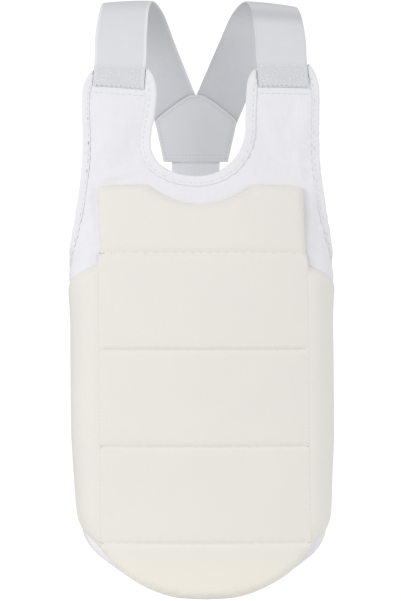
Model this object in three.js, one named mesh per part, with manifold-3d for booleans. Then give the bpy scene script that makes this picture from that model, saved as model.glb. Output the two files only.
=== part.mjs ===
// Karate chest protector: a quilted ivory pad with side wings on a white cloth bib, held up by a
// harness of wide elastic straps. Millimetres, +Z up. The wearer faces -Y and +X is the wearer's left.
// The origin lies between the shoulder straps, level with the highest point of their undersides.
//
// Every sewn panel is cut from a flat pattern, (s, z) with a height d above the cloth's inner face,
// and then bent round the body: s runs round the chest from the breastbone, positive to +X.

import * as THREE from "three";
import { mergeVertices } from "three/addons/utils/BufferGeometryUtils.js";
import Module from "manifold-3d";

const wasm = await Module();
wasm.setup();

// Driving dimensions
const CLOTH = 1.6; // doubled white cotton of the bib
const GAP = 0.6; // clearance between layers that are sewn together
const PAD = { thick: 12, rim: 5, seam: 6.5, roll: 14, groove: 8, inset: 6 };
const WING = { thick: 10.5, rim: 3, roll: 16, inset: 7 };
const BINDING = { width: 9, thick: 0.8 };
const STRAP = { width: 50, thick: 1.5, columns: 4, bow: 0.9, steps: 20 };
const PATCH = { thick: 1.3, corner: 5, step: 15, margin: 2 };
const SEAM_HALF_WIDTH = 101.3; // breastbone to the vertical seams, along the cloth
const SEAM_HEIGHTS = [-257, -353, -448.5, -544]; // sewn lines across the pad
const STRAP_END = { inner: 54.5, outer: 104.5, bottom: -90, leaves: -62 };
const REAR = { edge: 212, top: -291, bottom: -502 }; // rear edge of the cloth, behind each wing
const WAIST_BAND = { top: -397, bottom: -447, overlap: 18, step: 15 };
const BACK_STRAP = { top: -136, meets: -387, bottom: -445, span: 76, bow: 1.6, steps: 12 };

const IVORY = 0xe7e4dd;
const WHITE = 0xededf0;
const ELASTIC = 0xd8d9de;
const PATCH_GREY = 0xcccdd1;

// The body that the cloth is shaped on. frontY is the breastbone line, and frontRadius the bend of
// the chest: wide and flat at the collarbones, rounder from the ribs down. sway is how far the worn
// pad hangs to the wearer's left at that height.
const BODY_LEVELS = [
  { z: -620, frontY: -87, frontRadius: 316, sway: 4 },
  { z: -540, frontY: -93, frontRadius: 320, sway: 3.5 },
  { z: -450, frontY: -97, frontRadius: 322, sway: 2.2 },
  { z: -350, frontY: -98, frontRadius: 322, sway: 1.2 },
  { z: -320, frontY: -97.7, frontRadius: 322, sway: 0.9 },
  { z: -296, frontY: -97, frontRadius: 328, sway: 0.6 },
  { z: -272, frontY: -95.5, frontRadius: 348, sway: 0.3 },
  { z: -250, frontY: -93, frontRadius: 359, sway: 0.2 },
  { z: -190, frontY: -84, frontRadius: 378, sway: 0 },
  { z: -120, frontY: -73, frontRadius: 395, sway: 0 },
  { z: -50, frontY: -56, frontRadius: 402, sway: 0 },
];
// Half of a level's outline is a chain of arcs, from the breastbone to the spine. The first takes
// its radius from the level, and the last one closes the loop.
const FRONT_TURN = 18;
const SIDE_ARCS = [
  { place: "ribs", radius: 28.8, turn: 70 },
  { place: "flank", radius: 340, turn: 14 },
  { place: "shoulder blade", radius: 80, turn: 60 },
];
const SPINE_TURN = 18;

// Outlines of the flat patterns, for one side unless the two differ
const BOTTOM_EDGE = [
  { s: 0, z: -600 },
  { s: 32, z: -597.5 },
  { s: 60, z: -588 },
  { s: 90, z: -569.5 },
  { s: 115, z: -550 },
  { s: 126, z: -540 },
  { s: 139, z: -531 },
  { s: 165, z: -522 },
  { s: 204, z: -510 },
];
const ARM_EDGE = [
  { s: 204, z: -283 },
  { s: 178, z: -279 },
  { s: 154, z: -267 },
  { s: 140, z: -252 },
  { s: 130, z: -232 },
  { s: 124, z: -206 },
  { s: 119.5, z: -175 },
  { s: 118, z: -140 },
  { s: 119, z: -102 },
  { s: 117.5, z: -88 },
  { s: 113, z: -76 },
  { s: 106, z: -69 },
];
const TAB = { top: -65, inner: 64, outer: 96 }; // the flat top of a shoulder tab
// The neckline hangs a little towards the wearer's right, as the worn bib does.
const NECK_EDGE = [
  { s: 54, z: -73 },
  { s: 48.5, z: -83 },
  { s: 46.5, z: -97 },
  { s: 45.5, z: -120 },
  { s: 44.5, z: -139 },
  { s: 39.5, z: -155 },
  { s: 30, z: -168 },
  { s: 14, z: -178.5 },
  { s: -7, z: -182 },
  { s: -29, z: -178 },
  { s: -45, z: -168 },
  { s: -52.5, z: -153 },
  { s: -52.5, z: -138 },
  { s: -49, z: -120 },
  { s: -46.5, z: -97 },
  { s: -48.5, z: -83 },
  { s: -54, z: -73 },
];
// The worn pad's top sits a little to the wearer's right, so its two corners are given apart.
const PAD_TOP = { corner: -190.5, edge: -188.5, left: 98.9, right: 103.4 };
const PAD_DIP = { half: 54, centre: -2, depth: 20 };
const PAD_FOOT = { shoulder: -553, roundS: 82, chamferS: 92, chamferZ: -564, margin: 1.5 };
const WING_TOP = [
  { s: 0, z: -268.5 },
  { s: 12, z: -274.5 },
  { s: 24, z: -281.5 },
  { s: 38, z: -287.5 },
  { s: 62, z: -292 },
  { s: 98, z: -296 },
];
const WING_BOTTOM = [
  { s: 98, z: -499 },
  { s: 48, z: -521.5 },
  { s: 28, z: -530.5 },
  { s: 12, z: -540.5 },
  { s: 0, z: -553 },
];

// Flat pattern grid: cloth and pads share these lines, so that their facets lie parallel. They lie
// closest together where the cloth bends round the ribs.
const COLUMNS = [
  { place: "chest", from: 0, to: SEAM_HALF_WIDTH, step: 25 },
  { place: "ribs", from: SEAM_HALF_WIDTH, to: 162, step: 8.6 },
  { place: "flank", from: 162, to: REAR.edge + 8, step: 29 },
];
const ROWS = [
  { place: "belly", from: -612, to: -330, step: 40 },
  { place: "ribs", from: -330, to: -220, step: 12 },
  { place: "bib", from: -220, to: -54, step: 33 },
];

// How many straight steps stand for each smooth edge
const EDGE_STEPS = { bottom: 15, arm: 15, neck: 20, wingTop: 5, wingBottom: 8 };

const degrees = THREE.MathUtils.degToRad;
const levelTable = new THREE.CubicInterpolant(
  BODY_LEVELS.map((row) => row.z),
  BODY_LEVELS.flatMap((row) => [row.frontY, row.frontRadius, row.sway]),
  3,
  [0, 0, 0],
);

// The arcs of half the body's outline at a height
function bodyArcs(z) {
  const [frontY, frontRadius, sway] = levelTable.evaluate(z);
  const arcs = [{ radius: frontRadius, turn: degrees(FRONT_TURN) }];
  let heading = arcs[0].turn;
  let x = frontRadius * Math.sin(heading);
  for (const arc of SIDE_ARCS) {
    const next = heading + degrees(arc.turn);
    x += arc.radius * (Math.sin(next) - Math.sin(heading));
    heading = next;
    arcs.push({ radius: arc.radius, turn: degrees(arc.turn) });
  }
  const spineTurn = degrees(SPINE_TURN);
  arcs.push({ radius: x / Math.sin(spineTurn), turn: spineTurn });
  return { frontY, sway, arcs };
}

// Breastbone to spine, along the cloth
function halfGirth(z) {
  return bodyArcs(z).arcs.reduce((sum, arc) => sum + arc.radius * arc.turn, 0);
}

// A pattern point (s, z), d above the cloth's inner face, as a point in space
function onBody(s, z, d) {
  const { frontY, sway, arcs } = bodyArcs(z);
  let left = Math.abs(s);
  let heading = 0;
  let x = 0;
  let y = frontY;
  for (const arc of arcs) {
    const turned = Math.min(left / arc.radius, arc.turn);
    const next = heading + turned;
    x += arc.radius * (Math.sin(next) - Math.sin(heading));
    y += arc.radius * (Math.cos(heading) - Math.cos(next));
    heading = next;
    left -= turned * arc.radius;
  }
  const side = s < 0 ? -1 : 1;
  const across = side * (x + d * Math.sin(heading));
  return new THREE.Vector3(across + sway, y - d * Math.cos(heading), z);
}

// The upper back, where the yoke lies: d is outwards, towards +Y
const UPPER_BACK = { y: 81, z: -90, slope: 0.1, radius: 200 };
function onUpperBack(x, z, d) {
  const y = UPPER_BACK.y + UPPER_BACK.slope * (UPPER_BACK.z - z);
  return new THREE.Vector3(x, y - (x * x) / (2 * UPPER_BACK.radius) + d, z);
}

// Flat outlines
const flat = (rows) => rows.map((row) => new THREE.Vector2(row.s, row.z));
const mirror = (points) => points.map((p) => new THREE.Vector2(-p.x, p.y)).reverse();
const smooth = (points, steps) => new THREE.SplineCurve(points).getPoints(steps);
const line = (...pairs) => pairs.map(([s, z]) => new THREE.Vector2(s, z));

// A path moved sideways, to its left where the distance is positive. A sharp corner moves at most
// twice as far.
const SHARPEST_CORNER = 0.5;
function offset(path, distance, closed = false) {
  const last = path.length - 1;
  return path.map((p, i) => {
    const before = path[i > 0 ? i - 1 : closed ? last : 0];
    const after = path[i < last ? i + 1 : closed ? 0 : last];
    const a = p.clone().sub(before).normalize();
    const b = after.clone().sub(p).normalize();
    const along = a.clone().add(b).normalize();
    const miter = Math.max(along.dot(b.lengthSq() ? b : a), SHARPEST_CORNER);
    return new THREE.Vector2(-along.y, along.x).multiplyScalar(distance / miter).add(p);
  });
}

// How far a pattern point lies from the nearest stretch of a closed outline
function edgeDistance(outline, s, z) {
  const p = new THREE.Vector2(s, z);
  let nearest = Infinity;
  outline.forEach((a, i) => {
    const along = outline[(i + 1) % outline.length].clone().sub(a);
    const t = THREE.MathUtils.clamp(p.clone().sub(a).dot(along) / along.lengthSq(), 0, 1);
    nearest = Math.min(nearest, p.distanceTo(along.multiplyScalar(t).add(a)));
  });
  return nearest;
}

// Solids
function solidOf(geometry) {
  geometry.deleteAttribute("normal");
  geometry.deleteAttribute("uv");
  const merged = mergeVertices(geometry, 1e-4);
  const triVerts = new Uint32Array(merged.index.array);
  // A number of its own keeps each facet of the grid when the pattern is cut.
  const faceID = Uint32Array.from({ length: triVerts.length / 3 }, (_, i) => i);
  const vertProperties = merged.attributes.position.array;
  return new wasm.Manifold(new wasm.Mesh({ numProp: 3, vertProperties, triVerts, faceID }));
}

// A closed outline as a prism from one height to another
function prism(outline, low, high) {
  const shape = new THREE.Shape(outline);
  const geometry = new THREE.ExtrudeGeometry(shape, { depth: high - low, bevelEnabled: false });
  return solidOf(geometry.translate(0, 0, low));
}

// A slab with grid lines at the given stops, so that it can bend
function gridSlab(sStops, zStops, low, high) {
  const columns = sStops.length - 1;
  const rows = zStops.length - 1;
  const geometry = new THREE.BoxGeometry(columns, rows, 1, columns, rows, 1);
  const at = geometry.attributes.position;
  for (let i = 0; i < at.count; i++) {
    const s = sStops[Math.round(at.getX(i) + columns / 2)];
    const z = zStops[Math.round(at.getY(i) + rows / 2)];
    at.setXYZ(i, s, z, at.getZ(i) < 0 ? low : high);
  }
  return solidOf(geometry);
}

function stops(from, to, step) {
  const count = Math.max(1, Math.round((to - from) / step));
  return Array.from({ length: count + 1 }, (_, i) => from + ((to - from) * i) / count);
}
const ascending = (values) => [...new Set(values)].sort((a, b) => a - b);

const gridLines = (table) => ascending(table.flatMap((row) => stops(row.from, row.to, row.step)));
const halfStops = gridLines(COLUMNS);
const clothColumns = ascending([...halfStops, ...halfStops.map((s) => (s ? -s : 0))]);
const clothRows = gridLines(ROWS);
const besideSeam = [-PAD.groove, 0, PAD.groove];
const seamRows = SEAM_HEIGHTS.flatMap((z) => besideSeam.map((step) => z + step));
const clearOfSeams = clothRows.filter((z) => SEAM_HEIGHTS.every((seam) => Math.abs(z - seam) > PAD.roll));
const padRows = ascending([...clearOfSeams, ...seamRows]);

const CUT = 40; // the cutting prisms reach this far past the cloth on both sides
const RING_SLACK = 0.1; // how much closer to the edge an inset point may lie

// A panel cut from the grid, with a ring of points a little inside its edge where it is padded
function panel(outline, low, high, { rows = clothRows, inset = 0 } = {}) {
  const slab = gridSlab(clothColumns, rows, low, high);
  const whole = slab.intersect(prism(outline, -CUT, CUT));
  if (!inset) return whole;
  const keeps = (p) => edgeDistance(outline, p.x, p.y) > inset - RING_SLACK;
  const ring = offset(outline, inset, true).filter(keeps);
  const core = prism(ring, -CUT, CUT);
  return whole.intersect(core).add(whole.subtract(core));
}

// A flat solid bent into place, as a geometry
function bent(solid, place) {
  const mesh = solid.getMesh();
  const position = new Float32Array(mesh.numVert * 3);
  for (let i = 0; i < mesh.numVert; i++) {
    const [s, z, d] = mesh.vertProperties.subarray(i * mesh.numProp, i * mesh.numProp + 3);
    place(s, z, d).toArray(position, i * 3);
  }
  const geometry = new THREE.BufferGeometry();
  geometry.setAttribute("position", new THREE.BufferAttribute(position, 3));
  geometry.setIndex(new THREE.BufferAttribute(mesh.triVerts, 1));
  geometry.computeVertexNormals();
  return geometry;
}

// Height of a padded surface: it rolls up from its rim and its sewn lines to its full thickness.
function roll(distance, low, full, width) {
  const t = THREE.MathUtils.clamp(distance / width, 0, 1);
  return low + (full - low) * Math.sqrt(1 - (1 - t) * (1 - t));
}

// Bib cloth: from the shoulder tabs down to the pad's foot, and back to the wings' rear edges
const bottomEdge = smooth(flat(BOTTOM_EDGE), EDGE_STEPS.bottom);
const armEdge = smooth(flat(ARM_EDGE), EDGE_STEPS.arm);
const neckEdge = smooth(flat(NECK_EDGE), EDGE_STEPS.neck);
const rearEdge = line([REAR.edge, REAR.bottom], [REAR.edge, REAR.top]);
const tabTop = line([TAB.outer, TAB.top], [TAB.inner, TAB.top]);
const leftSide = [...bottomEdge, ...rearEdge, ...armEdge, ...tabTop];
const clothOutline = [...leftSide, ...neckEdge, ...mirror(leftSide).slice(0, -1)];
function bibCloth() {
  return bent(panel(clothOutline, 0, CLOTH), onBody);
}

// Chest pad: five cells between the vertical seams, with a dip under the neck and a round foot
function padOutline() {
  const { shoulder, roundS, chamferS, chamferZ, margin } = PAD_FOOT;
  const foot = offset(bottomEdge, margin).filter((p) => p.x < roundS);
  const side = line([chamferS, chamferZ], [SEAM_HALF_WIDTH, shoulder]);
  const edge = (corner) => line([SEAM_HALF_WIDTH, SEAM_HEIGHTS[0]], [corner, PAD_TOP.corner]);
  const half = (corner) => [...foot, ...side, ...edge(corner)];
  const { half: dipHalf, depth } = PAD_DIP;
  const radius = (dipHalf ** 2 + depth ** 2) / (2 * depth);
  const reach = Math.asin(dipHalf / radius);
  const centre = PAD_TOP.edge - depth + radius;
  const dip = stops(-reach, reach, reach / 4).map(
    (turn) => new THREE.Vector2(PAD_DIP.centre - radius * Math.sin(turn), centre - radius * Math.cos(turn)),
  );
  return [...half(PAD_TOP.left), ...dip, ...mirror(half(PAD_TOP.right)).slice(0, -1)];
}
const PAD_LOW = CLOTH + GAP;
// A flat slab becomes a pad: its outer face is lifted to the height that puff gives.
const padded = (puff) => (s, z, d) => onBody(s, z, d > PAD_LOW + GAP ? PAD_LOW + puff(s, z) : d);
function chestPad() {
  const outline = padOutline();
  const puff = (s, z) => {
    const seam = Math.min(...SEAM_HEIGHTS.map((height) => Math.abs(z - height)));
    const fromSeam = roll(seam, PAD.seam, PAD.thick, PAD.roll);
    return Math.min(fromSeam, roll(edgeDistance(outline, s, z), PAD.rim, PAD.thick, PAD.roll));
  };
  const solid = panel(outline, PAD_LOW, PAD_LOW + PAD.thick, { rows: padRows, inset: PAD.inset });
  return bent(solid, padded(puff));
}

// Wing pad: one smooth cell beside the chest pad, round the ribs to the rear edge
function wingPad(sided) {
  const from = SEAM_HALF_WIDTH + GAP;
  const placed = (rows) => flat(rows.map((row) => ({ s: row.s + from, z: row.z })));
  const lower = smooth(placed(WING_BOTTOM).reverse(), EDGE_STEPS.wingBottom);
  const upper = smooth(placed(WING_TOP).reverse(), EDGE_STEPS.wingTop);
  const outline = sided([...lower, ...upper]);
  const puff = (s, z) => roll(edgeDistance(outline, s, z), WING.rim, WING.thick, WING.roll);
  const solid = panel(outline, PAD_LOW, PAD_LOW + WING.thick, { inset: WING.inset });
  return bent(solid, padded(puff));
}

// Binding: a tape folded over an edge of the cloth, ending beside the shoulder strap
const strapFoot = (side) => {
  const { inner, outer } = STRAP_END;
  const across = [inner - GAP, outer + GAP].map((s) => side * s);
  const [a, b] = [Math.min(...across), Math.max(...across)];
  return prism(line([a, STRAP_END.bottom - GAP], [b, STRAP_END.bottom - GAP], [b, 0], [a, 0]), -CUT, CUT);
};
function binding(edge) {
  const { width, thick } = BINDING;
  const ring = (out, inwards) => [...offset(edge, inwards), ...offset(edge, -out).reverse()];
  const tape = panel(ring(GAP + thick, width), -GAP - thick, CLOTH + GAP + thick);
  const pastTape = width * 1.5;
  const slot = panel(ring(GAP, pastTape), -GAP, CLOTH + GAP);
  return bent(tape.subtract(slot).subtract(strapFoot(1)).subtract(strapFoot(-1)), onBody);
}

// A strap swept between the paths of its two edges, with its outer face bowed a little
function strap(firstEdge, secondEdge, { bow, steps }) {
  const first = new THREE.CatmullRomCurve3(firstEdge).getPoints(steps);
  const second = new THREE.CatmullRomCurve3(secondEdge).getPoints(steps);
  const sections = first.map((a, i) => {
    const b = second[i];
    const low = Math.max(i - 1, 0);
    const high = Math.min(i + 1, steps);
    const along = first[high].clone().add(second[high]).sub(first[low]).sub(second[low]);
    const out = b.clone().sub(a).cross(along).normalize();
    const row = (lift) => stops(0, 1, 1 / STRAP.columns).map((u) => {
      const crown = bow * (1 - (2 * u - 1) ** 2);
      return a.clone().lerp(b, u).addScaledVector(out, crown + lift);
    });
    return [...row(0), ...row(STRAP.thick).reverse()];
  });
  const ring = sections[0].length;
  const index = [];
  const quad = (a, b, c, d) => index.push(a, c, b, a, d, c);
  for (let i = 0; i < steps; i++) {
    for (let j = 0; j < ring; j++) {
      const k = (j + 1) % ring;
      quad(i * ring + j, i * ring + k, (i + 1) * ring + k, (i + 1) * ring + j);
    }
  }
  const lastRing = steps * ring;
  for (let j = 0; j < STRAP.columns; j++) {
    const under = ring - 1 - j;
    quad(j, under, under - 1, j + 1);
    quad(lastRing + j, lastRing + j + 1, lastRing + under - 1, lastRing + under);
  }
  const geometry = new THREE.BufferGeometry().setFromPoints(sections.flat());
  geometry.setIndex(index);
  geometry.computeVertexNormals();
  return geometry;
}

// Shoulder strap on the +X side: from the tab, over the shoulder and into the yoke. Each row is a
// place along it, with its two edges as [x, y, z].
const SHOULDER_ROUTE = [
  { place: "in front of the shoulder", inner: [54, -48, -36], outer: [104, -38, -38] },
  { place: "rising", inner: [51.5, -29, -10], outer: [101.5, -22, -13] },
  { place: "crest", inner: [46.5, 0, 0], outer: [97, 0, -4.3] },
  { place: "behind the shoulder", inner: [36.5, 32, -9], outer: [87, 30, -16] },
  { place: "shoulder blade", inner: [25.5, 58, -36], outer: [72.5, 56, -49] },
  { place: "above the yoke", inner: [12.5, 73, -66], outer: [56.5, 70, -85] },
];
const YOKE_ENTRY = [
  { inner: [1.3, -92], outer: [43.5, -116] },
  { inner: [0.8, -127], outer: [38, -131] },
];
function shoulderStrap(side) {
  const edge = (name) => [
    ...stops(STRAP_END.bottom, STRAP_END.leaves, 12).map((z) => onBody(side * STRAP_END[name], z, PAD_LOW)),
    ...SHOULDER_ROUTE.map(({ [name]: [x, y, z] }) => new THREE.Vector3(side * x, y, z)),
    ...YOKE_ENTRY.map(({ [name]: [x, z] }) => onUpperBack(side * x, z, 0)),
  ];
  const [first, second] = side > 0 ? ["inner", "outer"] : ["outer", "inner"];
  return strap(edge(first), edge(second), STRAP);
}

// Yoke patch: a five-sided ply on each side of the strap ends
const YOKE = { apex: -87, cornerHalf: 43, corner: -115.6, footHalf: 33.5, foot: -158.5 };
function yokePatch(low) {
  const { apex, cornerHalf, corner, footHalf, foot } = YOKE;
  const half = line([footHalf, foot], [cornerHalf, corner]);
  const corners = [...half, new THREE.Vector2(0, apex), ...mirror(half)];
  const outline = corners.flatMap((p, i) => {
    const before = corners[(i + 4) % 5].clone().sub(p).setLength(PATCH.corner).add(p);
    const after = corners[(i + 1) % 5].clone().sub(p).setLength(PATCH.corner).add(p);
    return new THREE.QuadraticBezierCurve(before, p, after).getPoints(3);
  });
  const { thick, step, margin } = PATCH;
  const columns = stops(-cornerHalf - margin, cornerHalf + margin, step);
  const slab = gridSlab(columns, [foot - margin, apex + margin], low, low + thick);
  return bent(slab.intersect(prism(outline, -CUT, CUT)), (s, z, d) => onUpperBack(-s, z, d));
}

// Back strap: from between the yoke's plies down to the waist band's outer face
function backStrap() {
  const half = STRAP.width / 2;
  const { top, meets, bottom, span } = BACK_STRAP;
  const heights = [top, ...stops(meets, YOKE.foot, span).reverse(), (meets + bottom) / 2, bottom];
  const edge = (side) => heights.map((z) => {
    const high = onUpperBack(side * half, Math.max(z, YOKE.foot), 0);
    const low = onBody(side * (halfGirth(z) - half), z, 0);
    const down = THREE.MathUtils.smoothstep(-z, -YOKE.foot, -meets);
    return high.lerp(low, down).setZ(z);
  });
  return strap(edge(-1), edge(1), BACK_STRAP);
}

// Waist band: one elastic band across the back, its ends inside the wings' rear edges
function waistBand() {
  const { top, bottom, overlap, step } = WAIST_BAND;
  const girth = halfGirth((top + bottom) / 2);
  const half = girth - REAR.edge + overlap;
  const slab = gridSlab(stops(-half, half, step), [bottom, top], -GAP - STRAP.thick, -GAP);
  return bent(slab, (u, z, d) => onBody(u < 0 ? girth + u : u - girth, z, d));
}

// The scene graph
function material(color, roughness) {
  return new THREE.MeshStandardMaterial({ color, roughness, metalness: 0 });
}
const FOAM_COVER = material(IVORY, 0.7);
const COTTON = material(WHITE, 0.85);
const WEBBING = material(ELASTIC, 0.75);
const PATCH_CLOTH = material(PATCH_GREY, 0.8);

const protector = new THREE.Group();
protector.name = "chest_protector";
const frontPanel = new THREE.Group();
const harness = new THREE.Group();
protector.add(frontPanel, harness);

function add(group, name, geometry, finish) {
  const mesh = new THREE.Mesh(geometry, finish);
  mesh.name = name;
  group.add(mesh);
}

add(frontPanel, "bib_cloth", bibCloth(), COTTON);
add(frontPanel, "chest_pad", chestPad(), FOAM_COVER);
add(frontPanel, "neck_binding", binding(neckEdge), COTTON);
const SIDES = [
  { name: "left", side: 1, sided: (outline) => outline },
  { name: "right", side: -1, sided: mirror },
];
for (const { name, side, sided } of SIDES) {
  add(frontPanel, `wing_pad_${name}`, wingPad(sided), FOAM_COVER);
  add(frontPanel, `arm_binding_${name}`, binding(sided(armEdge)), COTTON);
  add(harness, `shoulder_strap_${name}`, shoulderStrap(side), WEBBING);
}
add(harness, "yoke_patch_inner", yokePatch(-GAP - PATCH.thick), PATCH_CLOTH);
add(harness, "yoke_patch_outer", yokePatch(STRAP.thick + STRAP.bow), PATCH_CLOTH);
add(harness, "back_strap", backStrap(), WEBBING);
add(harness, "waist_band", waistBand(), WEBBING);

export default protector;
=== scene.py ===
# %% [markdown]
# # A karate chest protector
# This guard is pulled on over the head: a quilted foam pad with two side wings, sewn on a white
# cotton bib and carried by wide elastic straps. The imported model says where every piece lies. This
# lesson gives each piece its cloth, its seams and its finish. All lengths are in metres.

import math

import bmesh
import bpy
import numpy as np
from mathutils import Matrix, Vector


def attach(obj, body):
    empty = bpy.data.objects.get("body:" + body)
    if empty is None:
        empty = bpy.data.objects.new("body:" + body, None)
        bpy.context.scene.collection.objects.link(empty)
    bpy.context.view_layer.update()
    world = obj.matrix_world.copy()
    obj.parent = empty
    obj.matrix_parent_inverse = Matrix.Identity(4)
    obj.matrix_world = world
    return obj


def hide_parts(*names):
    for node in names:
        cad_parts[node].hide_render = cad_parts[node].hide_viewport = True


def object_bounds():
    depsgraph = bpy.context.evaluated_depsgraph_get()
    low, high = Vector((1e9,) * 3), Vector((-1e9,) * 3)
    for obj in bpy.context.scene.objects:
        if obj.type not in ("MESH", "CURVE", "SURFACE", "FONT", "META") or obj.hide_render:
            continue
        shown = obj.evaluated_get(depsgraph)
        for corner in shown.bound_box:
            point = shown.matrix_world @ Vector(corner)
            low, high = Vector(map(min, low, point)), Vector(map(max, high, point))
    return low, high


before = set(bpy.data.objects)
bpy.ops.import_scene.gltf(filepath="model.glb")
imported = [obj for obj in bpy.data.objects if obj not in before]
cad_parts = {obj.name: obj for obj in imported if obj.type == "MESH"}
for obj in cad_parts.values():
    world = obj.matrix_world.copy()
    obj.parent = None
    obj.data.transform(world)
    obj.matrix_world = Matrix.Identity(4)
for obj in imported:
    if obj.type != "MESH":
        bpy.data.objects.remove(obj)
cad_box = [list(corner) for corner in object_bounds()]
MM = 0.001
scene = bpy.context.scene
print("packed box in metres:", cad_box)

# %% [markdown]
# ## Camera
# The picture was taken level with the middle of the guard, from about three metres away and a
# little to the wearer's right. A long lens at that distance gives the same flat look. The shift
# moves the frame sideways by a pixel and a half, because the guard hangs a little left of centre.

# %% Camera
IMAGE_WIDTH, IMAGE_HEIGHT = 401, 601
FOCAL_PIXELS = 2980
ORIGIN_COLUMN = 199
CAMERA_DISTANCE = 3.04
CAMERA_HEIGHT = -0.304
CAMERA_TURN = math.radians(2.2)

bpy.ops.object.select_all(action="DESELECT")
bpy.ops.object.camera_add(
    location=(
        -CAMERA_DISTANCE * math.sin(CAMERA_TURN),
        -CAMERA_DISTANCE * math.cos(CAMERA_TURN),
        CAMERA_HEIGHT,
    ),
    rotation=(math.pi / 2, 0, -CAMERA_TURN),
)
camera = bpy.context.object
camera.data.sensor_width = 36
camera.data.lens = FOCAL_PIXELS * camera.data.sensor_width / IMAGE_HEIGHT
camera.data.shift_x = (IMAGE_WIDTH / 2 - ORIGIN_COLUMN) / IMAGE_HEIGHT
scene.camera = camera
print("lens in millimetres:", round(camera.data.lens, 1))

# %% [markdown]
# ## Writing shaders as sums
# A finish is a tree of nodes. Wiring them one by one is slow to read, so a small class wraps a
# node's output and lets Python's own signs add the Math nodes. Every other node comes from one
# method, which takes the node's type, its settings and what goes into its sockets.

# %% Node helpers
class Value:
    """One output of a node. A sum with it adds the Math nodes that the sum needs."""

    def __init__(self, nodes, socket):
        self.nodes = nodes
        self.socket = socket

    def out(self, name):
        return Value(self.nodes, self.socket.node.outputs[name])

    def math(self, operation, *inputs):
        sockets = dict(enumerate(inputs))
        return self.nodes.add("ShaderNodeMath", {"operation": operation}, sockets)

    def __add__(self, other):
        return self.math("ADD", self, other)

    def __sub__(self, other):
        return self.math("SUBTRACT", self, other)

    def __rsub__(self, other):
        return self.math("SUBTRACT", other, self)

    def __mul__(self, other):
        return self.math("MULTIPLY", self, other)

    __radd__ = __add__
    __rmul__ = __mul__

    def wave(self, pitch):
        return self.math("SINE", self * (2 * math.pi / pitch))

    def step(self, low, high):
        sockets = {"Value": self, "From Min": low, "From Max": high}
        settings = {"interpolation_type": "SMOOTHSTEP"}
        return self.nodes.add("ShaderNodeMapRange", settings, sockets)


class Nodes:
    """The node tree of a finish."""

    def __init__(self, tree):
        self.tree = tree

    def add(self, kind, settings=None, sockets=None, output=0):
        node = self.tree.nodes.new(kind)
        for name, setting in (settings or {}).items():
            setattr(node, name, setting)
        for name, value in (sockets or {}).items():
            if isinstance(value, Value):
                self.tree.links.new(value.socket, node.inputs[name])
            else:
                node.inputs[name].default_value = value
        return Value(self, node.outputs[output])

    def mix(self, share, first, second):
        settings = {"data_type": "RGBA"}
        return self.add("ShaderNodeMix", settings, {0: share, 6: first, 7: second}, output=2)

    def noise(self, vector, scale, detail=2.0):
        sockets = {"Vector": vector, "Scale": scale, "Detail": detail}
        return self.add("ShaderNodeTexNoise", {}, sockets, output="Fac")

    def scaled(self, vector, x, y, z):
        settings = {"operation": "MULTIPLY"}
        return self.add("ShaderNodeVectorMath", settings, {0: vector, 1: (x, y, z)})


def paint(red, green, blue):
    """A colour from its screen values, 0 to 255."""
    def linear(level):
        share = level / 255
        return share / 12.92 if share <= 0.04045 else ((share + 0.055) / 1.055) ** 2.4
    return (linear(red), linear(green), linear(blue), 1.0)


print("node helpers ready")

# %% [markdown]
# ## Studio
# White goods are photographed in a bright white room. The room itself lights the guard from all
# sides. A key and a front light on the wearer's right give the gentle fall of tone across the pad,
# and a broad fill on the other side keeps the far wing pale. The camera sees the room as pure
# white, and the floor is a plain pale sheet below.

# %% Room, lights and floor
ROOM_LIGHT = 0.62
ROOM_SEEN = 1.05
scene.view_settings.view_transform = "Standard"
scene.view_settings.look = "None"
room = bpy.data.worlds.new("white_room")
room.use_nodes = True
scene.world = room
room_nodes = Nodes(room.node_tree)
seen = room_nodes.add("ShaderNodeLightPath", output="Is Camera Ray")
background = room.node_tree.nodes["Background"]
background.inputs["Color"].default_value = (1.0, 1.0, 1.0, 1.0)
strength = ROOM_LIGHT + seen * (ROOM_SEEN - ROOM_LIGHT)
room.node_tree.links.new(strength.socket, background.inputs["Strength"])

LIGHTS = [
    # name, place, size, watts
    ("key", (-1.65, -1.6, 0.45), 1.1, 18.0),
    ("front", (-1.5, -3.1, 0.3), 1.0, 13.5),
    ("fill", (2.7, -0.9, 0.1), 1.6, 22.0),
]
for name, place, size, watts in LIGHTS:
    bpy.ops.object.light_add(type="AREA", location=place)
    lamp = bpy.context.object
    lamp.name = name
    lamp.data.shape = "DISK"
    lamp.data.size = size
    lamp.data.energy = watts
    aim = lamp.location * -1
    aim.z += CAMERA_HEIGHT
    lamp.rotation_euler = aim.to_track_quat("-Z", "Y").to_euler()

FLOOR_DROP = 0.06
FLOOR_SIZE = 0.9
bpy.ops.object.select_all(action="DESELECT")
bpy.ops.mesh.primitive_plane_add(size=FLOOR_SIZE, location=(0, 0, cad_box[0][2] - FLOOR_DROP))
floor = bpy.context.object
floor.name = "floor"
pale = bpy.data.materials.new("pale_floor")
pale.use_nodes = True
pale_shader = pale.node_tree.nodes["Principled BSDF"]
pale_shader.inputs["Base Color"].default_value = paint(250, 250, 250)
pale_shader.inputs["Roughness"].default_value = 0.9
floor.data.materials.append(pale)
print("lights:", [row[0] for row in LIGHTS])
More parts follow.
